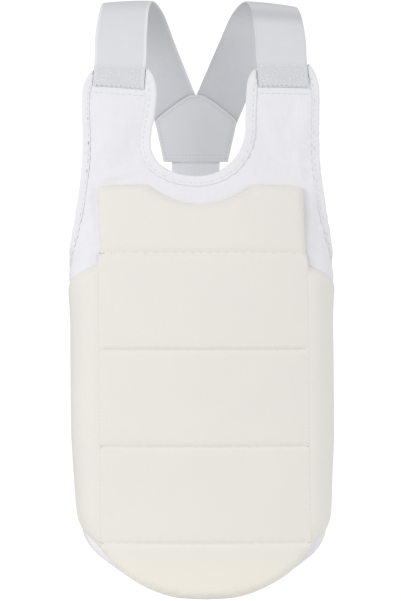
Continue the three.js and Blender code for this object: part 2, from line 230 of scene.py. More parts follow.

# %% [markdown]
# ## Finishes
# Every cloth piece below keeps an attribute called pattern: where each point lay on the flat cloth
# before it was sewn, across, along and off the cloth. A weave that reads it follows the cloth round
# every bend. The finishes are a knitted ivory cover, white cotton, ribbed elastic, a firm patch
# cloth, and the sewing thread. Some of them paint light and shade. The cover's lighter, warmer foot
# is a painted reflection. The back strap's elastic is a lighter copy. The strap on the wearer's left
# has a darker copy, with a soft grey band of painted shadow near the top of the shoulder. Grey thread
# paints the shade along stitched rows. Dark grains paint the shade in needle holes, in tucks and along
# edges.

# %% A blank finish
def new_finish(name, roughness, sheen):
    material = bpy.data.materials.new(name)
    material.use_nodes = True
    shader = material.node_tree.nodes["Principled BSDF"]
    shader.inputs["Roughness"].default_value = roughness
    shader.inputs["Specular IOR Level"].default_value = 0.2
    shader.inputs["Sheen Weight"].default_value = sheen
    shader.inputs["Sheen Roughness"].default_value = 0.5
    nodes = Nodes(material.node_tree)
    flat = nodes.add("ShaderNodeAttribute", {"attribute_name": "pattern"}, output="Vector")
    across = nodes.add("ShaderNodeSeparateXYZ", sockets={"Vector": flat}, output="X")
    return material, nodes, shader, flat, across, across.out("Y")


def wire(nodes, shader, colour, height, depth, strength):
    bump = nodes.add("ShaderNodeBump", {}, {"Strength": strength, "Distance": depth, "Height": height})
    nodes.tree.links.new(colour.socket, shader.inputs["Base Color"])
    nodes.tree.links.new(bump.socket, shader.inputs["Normal"])


# %% Ivory knitted cover
KNIT_PITCH = 1.3 * MM
# heights over which the cover's foot turns lighter and warmer: a painted warm reflection
FOOT_REFLECTION_FROM, FOOT_REFLECTION_TO = -0.535, -0.585


def ivory_cover():
    material, nodes, shader, flat, across, up = new_finish("ivory_cover", roughness=0.62, sheen=0.06)
    mottle = nodes.noise(flat, scale=16.0, detail=3.0)
    speck = nodes.noise(flat, scale=420.0)
    colour = nodes.mix(mottle, paint(231, 228, 223), paint(234, 232, 225))
    # painted warm reflection: the foot of the pad is lighter and warmer
    colour = nodes.mix(up.step(FOOT_REFLECTION_FROM, FOOT_REFLECTION_TO) * 0.75, colour, paint(238, 233, 221))
    colour = nodes.mix((speck - 0.35) * 0.35, colour, paint(222, 219, 212))
    knit = across.wave(KNIT_PITCH) * up.wave(KNIT_PITCH * 0.8) + speck * 0.8
    wire(nodes, shader, colour, knit, depth=0.12 * MM, strength=0.5)
    return material


# %% White cotton
TWILL_PITCH = 1.1 * MM


def white_cotton():
    material, nodes, shader, flat, across, up = new_finish("white_cotton", roughness=0.8, sheen=0.08)
    mottle = nodes.noise(flat, scale=22.0, detail=3.0)
    slub = nodes.noise(nodes.scaled(flat, 260.0, 60.0, 60.0), scale=1.0)
    colour = nodes.mix(mottle, paint(233, 233, 237), paint(239, 239, 242))
    colour = nodes.mix((slub - 0.4) * 0.3, colour, paint(224, 224, 230))
    twill = (across + up).wave(TWILL_PITCH) + slub * 0.6
    wire(nodes, shader, colour, twill, depth=0.12 * MM, strength=0.5)
    return material


# %% Ribbed elastic
RIB_PITCH = 2.1 * MM
WEFT_PITCH = 1.5 * MM
SELVEDGE_FROM, SELVEDGE_TO = 21.5 * MM, 23.5 * MM
SEWN_FROM, SEWN_TO = 22 * MM, 27 * MM
# where the painted fold shadow lies along the strap, and how far it reaches
FOLD_SHADOW_AT, FOLD_SHADOW_REACH = 79.5 * MM, 14 * MM


def white_elastic(name, light, dark, edge, fold_shadow_share=0.0):
    material, nodes, shader, flat, across, along = new_finish(name, roughness=0.72, sheen=0.06)
    streak = nodes.noise(nodes.scaled(flat, 240.0, 900.0, 1.0), scale=1.0)
    mottle = nodes.noise(flat, scale=30.0)
    selvedge = across.math("ABSOLUTE", across).step(SELVEDGE_FROM, SELVEDGE_TO)
    sewn_foot = 1 - along.step(SEWN_FROM, SEWN_TO)
    specks = nodes.noise(flat, scale=520.0).step(0.55, 0.68) * sewn_foot
    colour = nodes.mix(mottle, dark, light)
    colour = nodes.mix((streak - 0.3) * 0.5, colour, paint(204, 205, 211))
    colour = nodes.mix(selvedge * 0.6, colour, edge)
    # painted shadow: a soft grey band across the strap near the top of the shoulder, only in the shaded
    # copy
    off_fold_shadow = along - FOLD_SHADOW_AT
    fold_shadow = 1 - off_fold_shadow.math("ABSOLUTE", off_fold_shadow).step(0, FOLD_SHADOW_REACH)
    colour = nodes.mix(fold_shadow * fold_shadow_share, colour, paint(198, 199, 203))
    colour = nodes.mix(sewn_foot * 0.55, colour, paint(208, 211, 215))
    colour = nodes.mix(specks * 0.7, colour, paint(246, 246, 249))
    weft = along.wave(WEFT_PITCH) * across.wave(2 * RIB_PITCH)
    ribs = (across.wave(RIB_PITCH) * 0.3 + weft * 0.5) * (0.35 + sewn_foot)
    wire(nodes, shader, colour, ribs + streak + specks * 3, depth=0.25 * MM, strength=0.5)
    return material


# %% Patch cloth, thread and needle holes
CANVAS_PITCH = 1.2 * MM


def patch_cloth():
    material, nodes, shader, flat, across, up = new_finish("patch_cloth", roughness=0.78, sheen=0.05)
    mottle = nodes.noise(flat, scale=40.0, detail=3.0)
    slub = nodes.noise(nodes.scaled(flat, 500.0, 120.0, 1.0), scale=1.0)
    colour = nodes.mix(mottle, paint(227, 228, 231), paint(233, 234, 237))
    colour = nodes.mix((slub - 0.4) * 0.3, colour, paint(229, 230, 235))
    canvas = across.wave(CANVAS_PITCH) * up.wave(CANVAS_PITCH)
    wire(nodes, shader, colour, canvas + slub * 0.5, depth=0.15 * MM, strength=0.5)
    return material


def thread(name, light, dark):
    material, nodes, shader, flat, across, along = new_finish(name, roughness=0.6, sheen=0.1)
    twist = (across + along).wave(0.5 * MM)
    colour = nodes.mix(twist * 0.5 + 0.5, dark, light)
    wire(nodes, shader, colour, twist, depth=0.05 * MM, strength=0.4)
    return material


FINISH = {
    "ivory_cover": ivory_cover(),
    "white_cotton": white_cotton(),
    "white_elastic": white_elastic(
        "white_elastic", paint(221, 222, 226), paint(216, 217, 221), paint(236, 236, 240)),
    # a darker copy of the elastic, darker still at its selvedges and with a painted fold shadow: painted
    # shade on the strap that faces away from the key light
    "shaded_elastic": white_elastic(
        "shaded_elastic", paint(220, 221, 225), paint(215, 216, 220), paint(212, 213, 217), fold_shadow_share=0.95),
    # a lighter copy of the same elastic: painted light, which makes up for the shade that the back strap
    # lies in
    "lit_back_elastic": white_elastic(
        "lit_back_elastic", paint(238, 239, 242), paint(234, 235, 239), paint(240, 240, 243)),
    "patch_cloth": patch_cloth(),
    "thread": thread("thread", paint(240, 240, 242), paint(226, 226, 230)),
    "ivory_thread": thread("ivory_thread", paint(226, 223, 216), paint(206, 203, 195)),
    # grey thread: painted shade along the stitched rows of the bindings, under the strap ends and on the
    # yoke
    "shade_grey_thread": thread("shade_grey_thread", paint(218, 217, 224), paint(208, 207, 215)),
    # dark grains in ivory and in elastic grey: painted shade in the needle holes of the pad seams and the
    # strap ends
    "ivory_hole_shade": thread("ivory_hole_shade", paint(194, 191, 183), paint(184, 181, 174)),
    "elastic_hole_shade": thread("elastic_hole_shade", paint(200, 201, 206), paint(188, 189, 195)),
    # dark grey grains: painted shade in the seam-end dimples, in the binding's tucks and along the yoke's
    # upper edges
    "dark_shade_grains": thread("dark_shade_grains", paint(176, 176, 184), paint(160, 160, 168)),
}
print("finishes:", sorted(FINISH))

# %% [markdown]
# ## The body under the cloth
# Panels are drawn flat, s across from the breastbone and z up, and then wrapped round the wearer's
# body. At each height half of the body's outline is a chain of arcs: the chest, the ribs, the
# flank, the shoulder blade and the spine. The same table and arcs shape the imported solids, so each
# panel lands where its solid is.

# %% Wrapping a flat pattern round the body
BODY_LEVELS = MM * np.array([
    # height, breastbone, chest radius, sway, in millimetres
    (-620, -87, 316, 4),
    (-540, -93, 320, 3.5),
    (-450, -97, 322, 2.2),
    (-350, -98, 322, 1.2),
    (-320, -97.7, 322, 0.9),
    (-296, -97, 328, 0.6),
    (-272, -95.5, 348, 0.3),
    (-250, -93, 359, 0.2),
    (-190, -84, 378, 0),
    (-120, -73, 395, 0),
    (-50, -56, 402, 0),
])
CHEST_TURN = math.radians(18)
SIDE_ARCS = [
    # radius, turn
    (28.8 * MM, math.radians(70)),
    (340 * MM, math.radians(14)),
    (80 * MM, math.radians(60)),
]
SPINE_TURN = math.radians(18)


def spline(knots, values, at):
    """A smooth curve through rows of values, read at the given places."""
    steps = np.diff(values, axis=0) / np.diff(knots)[:, None]
    slopes = np.concatenate([steps[:1], (steps[1:] + steps[:-1]) / 2, steps[-1:]])
    i = np.clip(np.searchsorted(knots, at, side="right") - 1, 0, len(knots) - 2)
    span = (knots[i + 1] - knots[i])[:, None]
    t = (at - knots[i])[:, None] / span
    first = values[i] * (1 + 2 * t) * (1 - t) ** 2 + slopes[i] * span * t * (1 - t) ** 2
    return first + values[i + 1] * t * t * (3 - 2 * t) + slopes[i + 1] * span * t * t * (t - 1)


def body_arcs(z):
    """Breastbone, sway and the (radius, turn) of each arc at the given heights."""
    levels = spline(BODY_LEVELS[:, 0], BODY_LEVELS[:, 1:], z)
    arcs = [(levels[:, 1], CHEST_TURN)] + SIDE_ARCS
    heading, x = 0, 0
    for radius, turn in arcs:
        x = x + radius * (math.sin(heading + turn) - math.sin(heading))
        heading += turn
    arcs.append((x / math.sin(SPINE_TURN), SPINE_TURN))
    return levels[:, 0], levels[:, 2], arcs


def half_girth(z):
    arcs = body_arcs(np.atleast_1d(z))[2]
    return float(sum(radius * turn for radius, turn in arcs)[0])


def on_body(s, z, d):
    """Points of the flat pattern in space, d off the cloth's inner face, and their way outwards."""
    s, z, d = np.broadcast_arrays(*(np.asarray(v, float) for v in (s, z, d)))
    y, sway, arcs = body_arcs(z)
    left, heading, x = np.abs(s), np.zeros_like(s), np.zeros_like(s)
    for radius, turn in arcs:
        turned = np.minimum(left / radius, turn)
        x = x + radius * (np.sin(heading + turned) - np.sin(heading))
        y = y + radius * (np.cos(heading) - np.cos(heading + turned))
        heading = heading + turned
        left = left - turned * radius
    side = np.where(s < 0, -1.0, 1.0)
    outward = np.stack([side * np.sin(heading), -np.cos(heading), np.zeros_like(s)], axis=1)
    return np.stack([side * x + sway, y, z], axis=1) + d[:, None] * outward, outward


print("girth at the waist:", round(2 * half_girth(-0.42), 3))

# %% [markdown]
# ## Flat outlines
# A paper pattern is a few measured points joined by fair curves. The tables hold those points for
# one side, in millimetres, and the other side is their mirror image, apart from the corners of the
# tabs and of the pad, which hang a little differently on the two sides.

# %% Outlines of the bib, the pad and the wings
PAD_SIDE = 101.3
SEAM_HALF_WIDTH = PAD_SIDE * MM
SEAM_HEIGHTS = MM * np.array([-257, -353, -448.5, -544])
REAR_EDGE = MM * np.array([(212, -502), (212, -291)])
TAB_TOP = MM * np.array([(96, -65), (64, -65)])
BOTTOM_EDGE = MM * np.array([
    (0, -600), (32, -597.5), (60, -588), (90, -569.5), (115, -550),
    (126, -540), (139, -531), (165, -522), (204, -510),
])
ARM_EDGE = MM * np.array([
    (204, -283), (178, -279), (154, -267), (140, -252), (130, -232), (124, -206),
    (119.5, -175), (118, -140), (119, -102),
])
TAB_CORNER = {
    # the upper end of the arm edge, on the wearer's left and right
    1: MM * np.array([(118.5, -88), (115, -76), (109, -67)]),
    -1: MM * np.array([(117, -88), (111.5, -77.5), (104.5, -71)]),
}
NECK_EDGE = MM * np.array([
    (54, -73), (48.5, -83), (46.5, -97), (45.5, -120), (44.5, -139), (39.5, -155),
    (30, -168), (14, -178.5), (-7, -182), (-29, -178), (-45, -168), (-52.5, -153),
    (-52.5, -138), (-49, -120), (-46.5, -97), (-48.5, -83), (-54, -73),
])
EDGE_STEP = 2 * MM


def lengths_along(points):
    """How far along the path each point lies."""
    return np.concatenate([[0], np.cumsum(np.linalg.norm(np.diff(points, axis=0), axis=1))])


def read_between(knots, table, at):
    """Rows of a table, read straight between its knots."""
    return np.stack([np.interp(at, knots, column) for column in table.T], axis=1)


def fair(points, step=EDGE_STEP):
    """Evenly spaced points on a smooth curve through the given ones."""
    knots = lengths_along(points)
    return spline(knots, points, np.linspace(0, knots[-1], max(2, round(knots[-1] / step) + 1)))


def mirror(points):
    return points[::-1] * (-1, 1)


bottom_edge = fair(BOTTOM_EDGE)
arm_edges = {side: fair(np.concatenate([ARM_EDGE, corner])) for side, corner in TAB_CORNER.items()}
neck_edge = fair(NECK_EDGE)
halves = {
    side: np.concatenate([bottom_edge, REAR_EDGE, edge, TAB_TOP]) for side, edge in arm_edges.items()
}
bib_outline = np.concatenate([halves[1], neck_edge, mirror(halves[-1])[:-1]])


# how far out the pad's top corner lies, on the wearer's left and right
PAD_CORNER = {1: 98.9, -1: 103.4}
PAD_CORNER_HEIGHT = -190.5
PAD_SIDE_TOP, PAD_SIDE_FOOT = -257, -553
FOOT_CORNER = 92, -564
FOOT_REACH, FOOT_HEM = 82 * MM, 1.5 * MM
DIP_CENTRE, DIP_HALF, DIP_EDGE, DIP_DEPTH, DIP_POINTS = -2, 54, -188.5, 20, 25
HAIR = 0.1 * MM


def pad_half(side):
    """One half of the pad from the foot's middle to the top corner, as drawn on the +X side."""
    foot = bottom_edge[bottom_edge[:, 0] < FOOT_REACH] + (0, FOOT_HEM)
    corners = [
        FOOT_CORNER, (PAD_SIDE, PAD_SIDE_FOOT), (PAD_SIDE, PAD_SIDE_TOP),
        (PAD_CORNER[side], PAD_CORNER_HEIGHT),
    ]
    return np.concatenate([foot, MM * np.array(corners)])


def pad_outline():
    """Round foot, straight sides, square shoulders and a dip under the neck."""
    turn = np.linspace(-1, 1, DIP_POINTS)
    dip = np.stack([DIP_CENTRE - DIP_HALF * turn, DIP_EDGE - DIP_DEPTH * (1 - turn ** 2)], axis=1)
    return np.concatenate([pad_half(1), MM * dip, mirror(pad_half(-1))[:-1]])


WING_TOP = MM * np.array([
    (98, -296), (62, -292), (38, -287.5), (24, -281.5), (12, -274.5), (0, -268.5),
])
WING_BOTTOM = MM * np.array([
    (0, PAD_SIDE_FOOT), (12, -540.5), (28, -530.5), (48, -521.5), (98, -499),
])
WING_FRONT = SEAM_HALF_WIDTH
SEAM_CLEARANCE = 0.6 * MM


def wing_outline(side):
    outline = np.concatenate([fair(WING_BOTTOM), fair(WING_TOP)]) + (WING_FRONT, 0)
    return outline if side > 0 else mirror(outline)


chest_outline = pad_outline()
pad_outlines = [chest_outline, wing_outline(1), wing_outline(-1)]
pad_top = chest_outline[chest_outline[:, 1] > SEAM_HEIGHTS[0] - HAIR]
below_sides = chest_outline[chest_outline[:, 1] < PAD_SIDE_FOOT * MM + HAIR]
pad_foot = np.concatenate([below_sides[below_sides[:, 0] < 0], below_sides[below_sides[:, 0] >= 0]])


def area_of(outline):
    x, y = outline.T
    return 0.5 * abs(float(np.dot(x, np.roll(y, 1)) - np.dot(y, np.roll(x, 1))))


print("bib cloth, square metres:", round(area_of(bib_outline), 4))

# %% [markdown]
# ## Cutting and thickening
# Cloth is cut flat. A grid is added at the size of the outline, the faces outside are deleted, and
# the ragged edge is drawn onto the outline. Solidify gives it two sides. Bending comes last, and
# keeps each point's flat place as the pattern attribute.

# %% Small tools for meshes
def only(piece):
    bpy.ops.object.select_all(action="DESELECT")
    piece.select_set(True)
    bpy.context.view_layer.objects.active = piece


def points_of(piece):
    points = np.zeros(len(piece.data.vertices) * 3, np.float32)
    piece.data.vertices.foreach_get("co", points)
    return points.reshape(-1, 3).astype(float)


def set_points(piece, points):
    piece.data.vertices.foreach_set("co", points.astype(np.float32).ravel())
    piece.data.update()


def set_pattern(piece, flat):
    stored = piece.data.attributes.get("pattern")
    if stored is None:
        stored = piece.data.attributes.new("pattern", "FLOAT_VECTOR", "POINT")
    stored.data.foreach_set("vector", flat.astype(np.float32).ravel())


def pattern_of(piece):
    flat = np.zeros(len(piece.data.vertices) * 3, np.float32)
    piece.data.attributes["pattern"].data.foreach_get("vector", flat)
    return flat.reshape(-1, 3).astype(float)


def modify(piece, kind, **settings):
    """Adds a modifier with its settings and applies it."""
    only(piece)
    modifier = piece.modifiers.new(kind.title(), kind)
    for name, setting in settings.items():
        setattr(modifier, name, setting)
    bpy.ops.object.modifier_apply(modifier=modifier.name)


def add_grid(name, columns, rows):
    """A square grid, to be drawn out to its size."""
    bpy.ops.object.select_all(action="DESELECT")
    bpy.ops.mesh.primitive_grid_add(x_subdivisions=columns, y_subdivisions=rows, size=1)
    piece = bpy.context.object
    piece.name = piece.data.name = name
    return piece


def face_outward(piece):
    only(piece)
    bpy.ops.object.mode_set(mode="EDIT")
    bpy.ops.mesh.select_all(action="SELECT")
    bpy.ops.mesh.normals_make_consistent(inside=False)
    bpy.ops.object.mode_set(mode="OBJECT")


def delete_faces(piece, unwanted):
    only(piece)
    bpy.ops.object.mode_set(mode="EDIT")
    bpy.ops.mesh.select_mode(type="FACE")
    bpy.ops.mesh.select_all(action="DESELECT")
    bpy.ops.object.mode_set(mode="OBJECT")
    piece.data.polygons.foreach_set("select", unwanted)
    bpy.ops.object.mode_set(mode="EDIT")
    bpy.ops.mesh.delete(type="FACE")
    bpy.ops.object.mode_set(mode="OBJECT")


def face_centres(piece):
    centres = np.zeros(len(piece.data.polygons) * 3, np.float32)
    piece.data.polygons.foreach_get("center", centres)
    return centres.reshape(-1, 3).astype(float)


def at_rim(piece):
    mesh = bmesh.new()
    mesh.from_mesh(piece.data)
    rim = np.array([vertex.is_boundary for vertex in mesh.verts])
    mesh.free()
    return rim


# %% Where points lie against an outline
def inside(outline, points):
    found = np.zeros(len(points), bool)
    for (x0, y0), (x1, y1) in zip(outline, np.roll(outline, -1, axis=0)):
        if y0 == y1:
            continue
        spans = (points[:, 1] < y0) != (points[:, 1] < y1)
        found ^= spans & (points[:, 0] < x0 + (points[:, 1] - y0) * (x1 - x0) / (y1 - y0))
    return found


def nearest_on(path, points, closed=True):
    """The nearest point of a path to each point, and how far off it is."""
    ends = np.roll(path, -1, axis=0) if closed else path[1:]
    best = np.full(len(points), np.inf)
    where = np.zeros((len(points), 2))
    for start, end in zip(path, ends):
        along = end - start
        size = float(along @ along)
        if size == 0:
            continue
        t = np.clip((points - start) @ along / size, 0, 1)
        spot = start + t[:, None] * along
        off = np.linalg.norm(points - spot, axis=1)
        nearer = off < best
        best[nearer] = off[nearer]
        where[nearer] = spot[nearer]
    return where, best


# %% Cutting a panel
def cut_panel(name, outline, step):
    """A flat grid cut to the outline, with s in x and z in y."""
    low, high = outline.min(axis=0), outline.max(axis=0)
    columns, rows = np.ceil((high - low) / step).astype(int)
    piece = add_grid(name, int(columns), int(rows))
    bpy.ops.object.mode_set(mode="EDIT")
    bpy.ops.mesh.select_all(action="SELECT")
    bpy.ops.transform.resize(value=(high[0] - low[0], high[1] - low[1], 1))
    middle = (low + high) / 2
    bpy.ops.transform.translate(value=(middle[0], middle[1], 0))
    bpy.ops.object.mode_set(mode="OBJECT")
    delete_faces(piece, ~inside(outline, face_centres(piece)[:, :2]))
    points = points_of(piece)
    rim = at_rim(piece)
    points[rim, :2] = nearest_on(outline, points[rim, :2])[0]
    set_points(piece, points)
    return piece


def thicken(piece, thickness):
    modify(piece, "SOLIDIFY", thickness=thickness, offset=1, use_even_offset=False)


def bend(piece, height):
    """Keeps the flat pattern, then wraps the panel round the body at the given heights."""
    flat = points_of(piece)
    set_pattern(piece, flat)
    points, _ = on_body(flat[:, 0], flat[:, 1], height(*flat.T))
    set_points(piece, points)


def finish_piece(piece, finish, *nodes, slot=None):
    """Smooth shading, the finish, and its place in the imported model."""
    only(piece)
    bpy.ops.object.shade_smooth()
    piece.data.materials.clear()
    piece.data.materials.append(FINISH[finish])
    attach(piece, "root")
    if nodes:
        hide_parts(*nodes)


print("cutting tools ready")

# %% [markdown]
# ## Bib
# The bib is doubled cotton, hemmed into one sheet 1.6 mm thick. It hangs from the straps, so soft
# folds run down from the strap ends and round the neck. A Cloth run would need the whole hanging
# weight to find these few folds. A short table of them, each a long soft ridge, is quicker to set
# and stays where the picture has them.

# %% Bib cloth with its folds
CLOTH = 1.6 * MM
BIB_STEP = 2.6 * MM
FOLDS = [
    # s, z, lean from upright in degrees, length, width, height; millimetres
    (-90, -126, 5, 46, 20, 5.0),
    (-64, -144, 14, 38, 14, -4.6),
    (-76, -152, 30, 24, 5, -0.8),
    (-93, -166, -12, 22, 5, 1.8),
    (-99, -150, 40, 14, 4, 1.5),
    (-66, -170, 62, 20, 5, 1.8),
    (-84, -180, 75, 24, 4, 1.6),
    (-110, -215, -8, 46, 5, 1.8),
    (-116, -245, -16, 30, 4, 1.6),
    (-107, -197, 50, 12, 4, 1.4),
    (72, -126, -38, 26, 6, 3.0),
    (84, -146, -32, 30, 6, -2.8),
    (95, -160, -12, 26, 5, 2.4),
    (78, -171, -65, 22, 5, 2.2),
    (62, -140, -20, 30, 8, -2.0),
    (104, -128, 4, 40, 8, 2.0),
    (92, -118, 20, 18, 5, -1.5),
    (109, -215, 6, 40, 5, 1.8),
    (114, -240, 10, 30, 4, -1.6),
]
EDGE_PUCKER, EDGE_PUCKER_PITCH, EDGE_PUCKER_REACH = 0.5 * MM, 15 * MM, 13 * MM
EDGE_PUCKER_SLANT, EDGE_PUCKER_SWING, EDGE_PUCKER_PACE = 0.8, 1.9, 0.37
FOLDS_FROM, FOLDS_FULL = 88 * MM, 104 * MM
FREE_OF_PAD = 1 * MM, 9 * MM
PAD_DRAW, WING_DRAW, FOOT_DRAW = 2.5 * MM, 6.5 * MM, 1.5 * MM
DRAWN_UNDER, DRAWN_BESIDE = (1 * MM, 3.5 * MM), (2 * MM, 26 * MM)
WAIST = -400 * MM
REAR_FROM, REAR_TO = 150 * MM, 175 * MM


def gentle(value, low, high):
    """A soft step from 0 at low to 1 at high."""
    t = np.clip((value - low) / (high - low), 0, 1)
    return t * t * (3 - 2 * t)


def drawn_to_pads(s, flat, under, fade=DRAWN_UNDER):
    """The cloth beside a pad is sewn to its cover, which draws it up towards the pad's face."""
    drawn = np.zeros_like(s)
    wing_draw = np.where(flat[:, 1] > WAIST, WING_DRAW, FOOT_DRAW)
    for run, rise in ((pad_top, PAD_DRAW), (pad_outlines[1], wing_draw), (pad_outlines[2], wing_draw)):
        off = nearest_on(run, flat, closed=False)[1]
        near = 1 - np.where(under, gentle(off, *fade), gentle(off, *DRAWN_BESIDE))
        drawn = np.maximum(drawn, rise * near)
    return drawn * (1 - gentle(np.abs(s), REAR_FROM, REAR_TO))


def bib_lift(s, z):
    """How far the hanging cloth stands off its flat lie: nothing under the pads and the straps."""
    lift = np.zeros_like(s)
    for across, up, lean, length, width, height in FOLDS:
        turn = math.radians(lean)
        ds, dz = s - across * MM, z - up * MM
        along = (dz * math.cos(turn) + ds * math.sin(turn)) / (length * MM)
        off = (ds * math.cos(turn) - dz * math.sin(turn)) / (width * MM)
        lift += height * MM * np.exp(-along ** 2 - off ** 2)
    flat = np.stack([s, z], axis=1)
    for sewn_edge in (arm_edges[1], mirror(arm_edges[-1]), neck_edge):
        spot, off = nearest_on(sewn_edge, flat, closed=False)
        phase = 2 * math.pi * (spot[:, 1] + EDGE_PUCKER_SLANT * spot[:, 0]) / EDGE_PUCKER_PITCH
        ripple = np.sin(phase + EDGE_PUCKER_SWING * np.sin(EDGE_PUCKER_PACE * phase))
        lift += EDGE_PUCKER * ripple * np.exp(-(off / EDGE_PUCKER_REACH) ** 2)
    free = gentle(-z, FOLDS_FROM, FOLDS_FULL)
    under = np.zeros_like(s, bool)
    for outline in pad_outlines:
        off = nearest_on(outline, flat)[1]
        under |= inside(outline, flat)
        free = free * np.where(under, 0, gentle(off, *FREE_OF_PAD))
    return lift * free + drawn_to_pads(s, flat, under)


def bib_height(s, z, d):
    return d + bib_lift(s, z)


bib = cut_panel("bib_cloth_sheet", bib_outline, BIB_STEP)
thicken(bib, CLOTH)
bend(bib, bib_height)
finish_piece(bib, "white_cotton", "bib_cloth")
print("bib faces:", len(bib.data.polygons))

# %% [markdown]
# ## Pads
# Each pad is a foam sheet in a knitted cover, sewn down round its edge, and the chest pad is sewn
# across along four lines as well. The panel is cut and thickened flat, rolled down towards its
# sewn lines, and bent. Then a Cloth run with air inside and the sewn lines pinned lets the cover
# swell between them, as real quilting does. Its moves are capped, so that the foam stays flat.
# Underneath, the rim lifts off with the bib's cloth, which is drawn up to the seam.

# %% Letting a cover swell
CLOTH_FRAMES = 20


def plump(piece, sewn, pressure, cap):
    """Swells the cover by Cloth, at most by the cap that each point has."""
    before = points_of(piece)
    group = piece.vertex_groups.new(name="sewn")
    group.add(np.flatnonzero(sewn).tolist(), 1.0, "REPLACE")
    only(piece)
    cloth = piece.modifiers.new("Cloth", "CLOTH")
    cloth.settings.vertex_group_mass = group.name
    cloth.settings.use_pressure = True
    cloth.settings.uniform_pressure_force = pressure
    cloth.settings.effector_weights.gravity = 0
    cloth.collision_settings.use_collision = False
    cloth.point_cache.frame_end = CLOTH_FRAMES
    for number in range(1, CLOTH_FRAMES + 1):
        scene.frame_set(number)
    bpy.ops.object.modifier_apply(modifier=cloth.name)
    scene.frame_set(1)
    moved = points_of(piece) - before
    length = np.linalg.norm(moved, axis=1)
    set_points(piece, before + moved * np.minimum(1, cap / np.maximum(length, 1e-9))[:, None])
    piece.vertex_groups.clear()
    print(piece.name, "swelled by up to", round(float(length.max()) / MM, 2), "mm")


def rolled(distance, low, full, width):
    """Height of foam that rolls down to a sewn line."""
    t = np.clip(distance / width, 0, 1)
    return low + (full - low) * np.sqrt(1 - (1 - t) ** 2)


# %% Chest pad
PAD_LOW = CLOTH + SEAM_CLEARANCE
PAD_THICK = 12 * MM
PAD_STEP = 3.6 * MM
SEAM_LOW, SEAM_ROLL = 10.2 * MM, 7 * MM
SIDE_LOW, SIDE_ROLL = 11.45 * MM, 2 * MM
RIM_LOW, RIM_ROLL = 6.0 * MM, 8 * MM
FLUSH = 1 * MM, 26 * MM
SEAM_ENDS = 0.5 * MM, 6 * MM
SEWN_EDGE, SEWN_LINE = 1 * MM, 2.2 * MM
RIM_ANGLE = math.radians(50)
PRESSURE, CHEST_SWELL = 4, 1.6 * MM
RIM_LIFTS = 4 * MM, 10 * MM


def underside(s, z):
    """A pad lies flat on the bib, apart from its rim, which is sewn into the drawn-up cloth."""
    drawn = drawn_to_pads(s, np.stack([s, z], axis=1), True, fade=RIM_LIFTS)
    return np.maximum(PAD_LOW, CLOTH / 2 + drawn)


def seam_distance(z):
    return np.abs(z[:, None] - SEAM_HEIGHTS).min(axis=1)


def chest_height(s, z, d):
    flat = np.stack([s, z], axis=1)
    top = nearest_on(pad_top, flat, closed=False)[1]
    foot = nearest_on(pad_foot, flat, closed=False)[1]
    side = SEAM_HALF_WIDTH - np.abs(s)
    puff = rolled(np.minimum(top, foot), RIM_LOW, PAD_THICK, RIM_ROLL)
    puff = np.minimum(puff, rolled(np.maximum(side, 0), SIDE_LOW, PAD_THICK, SIDE_ROLL))
    low = SIDE_LOW - (SIDE_LOW - SEAM_LOW) * gentle(side, *SEAM_ENDS)
    puff = np.minimum(puff, rolled(seam_distance(z), low, PAD_THICK, SEAM_ROLL))
    return np.where(d > PAD_THICK / 2, PAD_LOW + puff, underside(s, z))


def pad_panel(name, outline, thickness, height):
    """A bent pad whose rim stays hard under subdivision and is marked sharp, so that pad and wing meet
    without a dark line.
    """
    panel = cut_panel(name, outline, PAD_STEP)
    thicken(panel, thickness)
    only(panel)
    bpy.ops.object.mode_set(mode="EDIT")
    bpy.ops.mesh.select_mode(type="EDGE")
    bpy.ops.mesh.select_all(action="DESELECT")
    bpy.ops.mesh.edges_select_sharp(sharpness=RIM_ANGLE)
    bpy.ops.transform.edge_crease(value=1)
    bpy.ops.mesh.mark_sharp()
    bpy.ops.object.mode_set(mode="OBJECT")
    bend(panel, height)
    return panel


chest = pad_panel("chest_pad_cover", chest_outline, PAD_THICK, chest_height)
flat = pattern_of(chest)
edge = nearest_on(chest_outline, flat[:, :2])[1]
sewn = (flat[:, 2] < PAD_THICK / 2) | (edge < SEWN_EDGE) | (seam_distance(flat[:, 1]) < SEWN_LINE)
swell = CHEST_SWELL * gentle(SEAM_HALF_WIDTH - np.abs(flat[:, 0]), *FLUSH)
plump(chest, sewn, PRESSURE, swell)
modify(chest, "SUBSURF", levels=1, render_levels=1)

# %% [markdown]
# The needle pulls the cover down hard along a line that is much narrower than the grid. So the pad
# is bisected a few times beside each seam, and the new rows are pressed in. Small puckers run along
# the line, and at some of its ends by the side seam the cover is drawn into a dimple, whose shade is
# painted by a dark grain.

# %% Sewn lines across the chest pad
SEAM_CUTS = MM * np.array([-2.4, -1.0, 0.0, 1.0, 2.4])
SEAM_DEPTHS = MM * np.array([0.7, 1.45, 1.6, 0.9])
SEAM_WIDTH = 1.8 * MM
PUCKER_PITCH, PUCKER_HEIGHT, PUCKER_REACH = 9 * MM, 0.22 * MM, 7 * MM
PUCKER_SWING, PUCKER_DRIFT, PUCKER_STAGGER = 2.1, 23 * MM, 400
DIMPLE_IN, DIMPLE_DEPTH, DIMPLE_RADIUS = 1.5 * MM, 0.7 * MM, 2.0 * MM
SEAM_END_DIMPLES = [
    # seam counted from the top, side
    (0, -1), (2, -1), (3, -1), (2, 1), (3, 1),
]


def bisect_level(piece, height):
    only(piece)
    bpy.ops.object.mode_set(mode="EDIT")
    bpy.ops.mesh.select_all(action="SELECT")
    bpy.ops.mesh.bisect(plane_co=(0, 0, height), plane_no=(0, 0, 1))
    bpy.ops.object.mode_set(mode="OBJECT")


for seam in SEAM_HEIGHTS:
    for cut in SEAM_CUTS:
        bisect_level(chest, seam + cut)

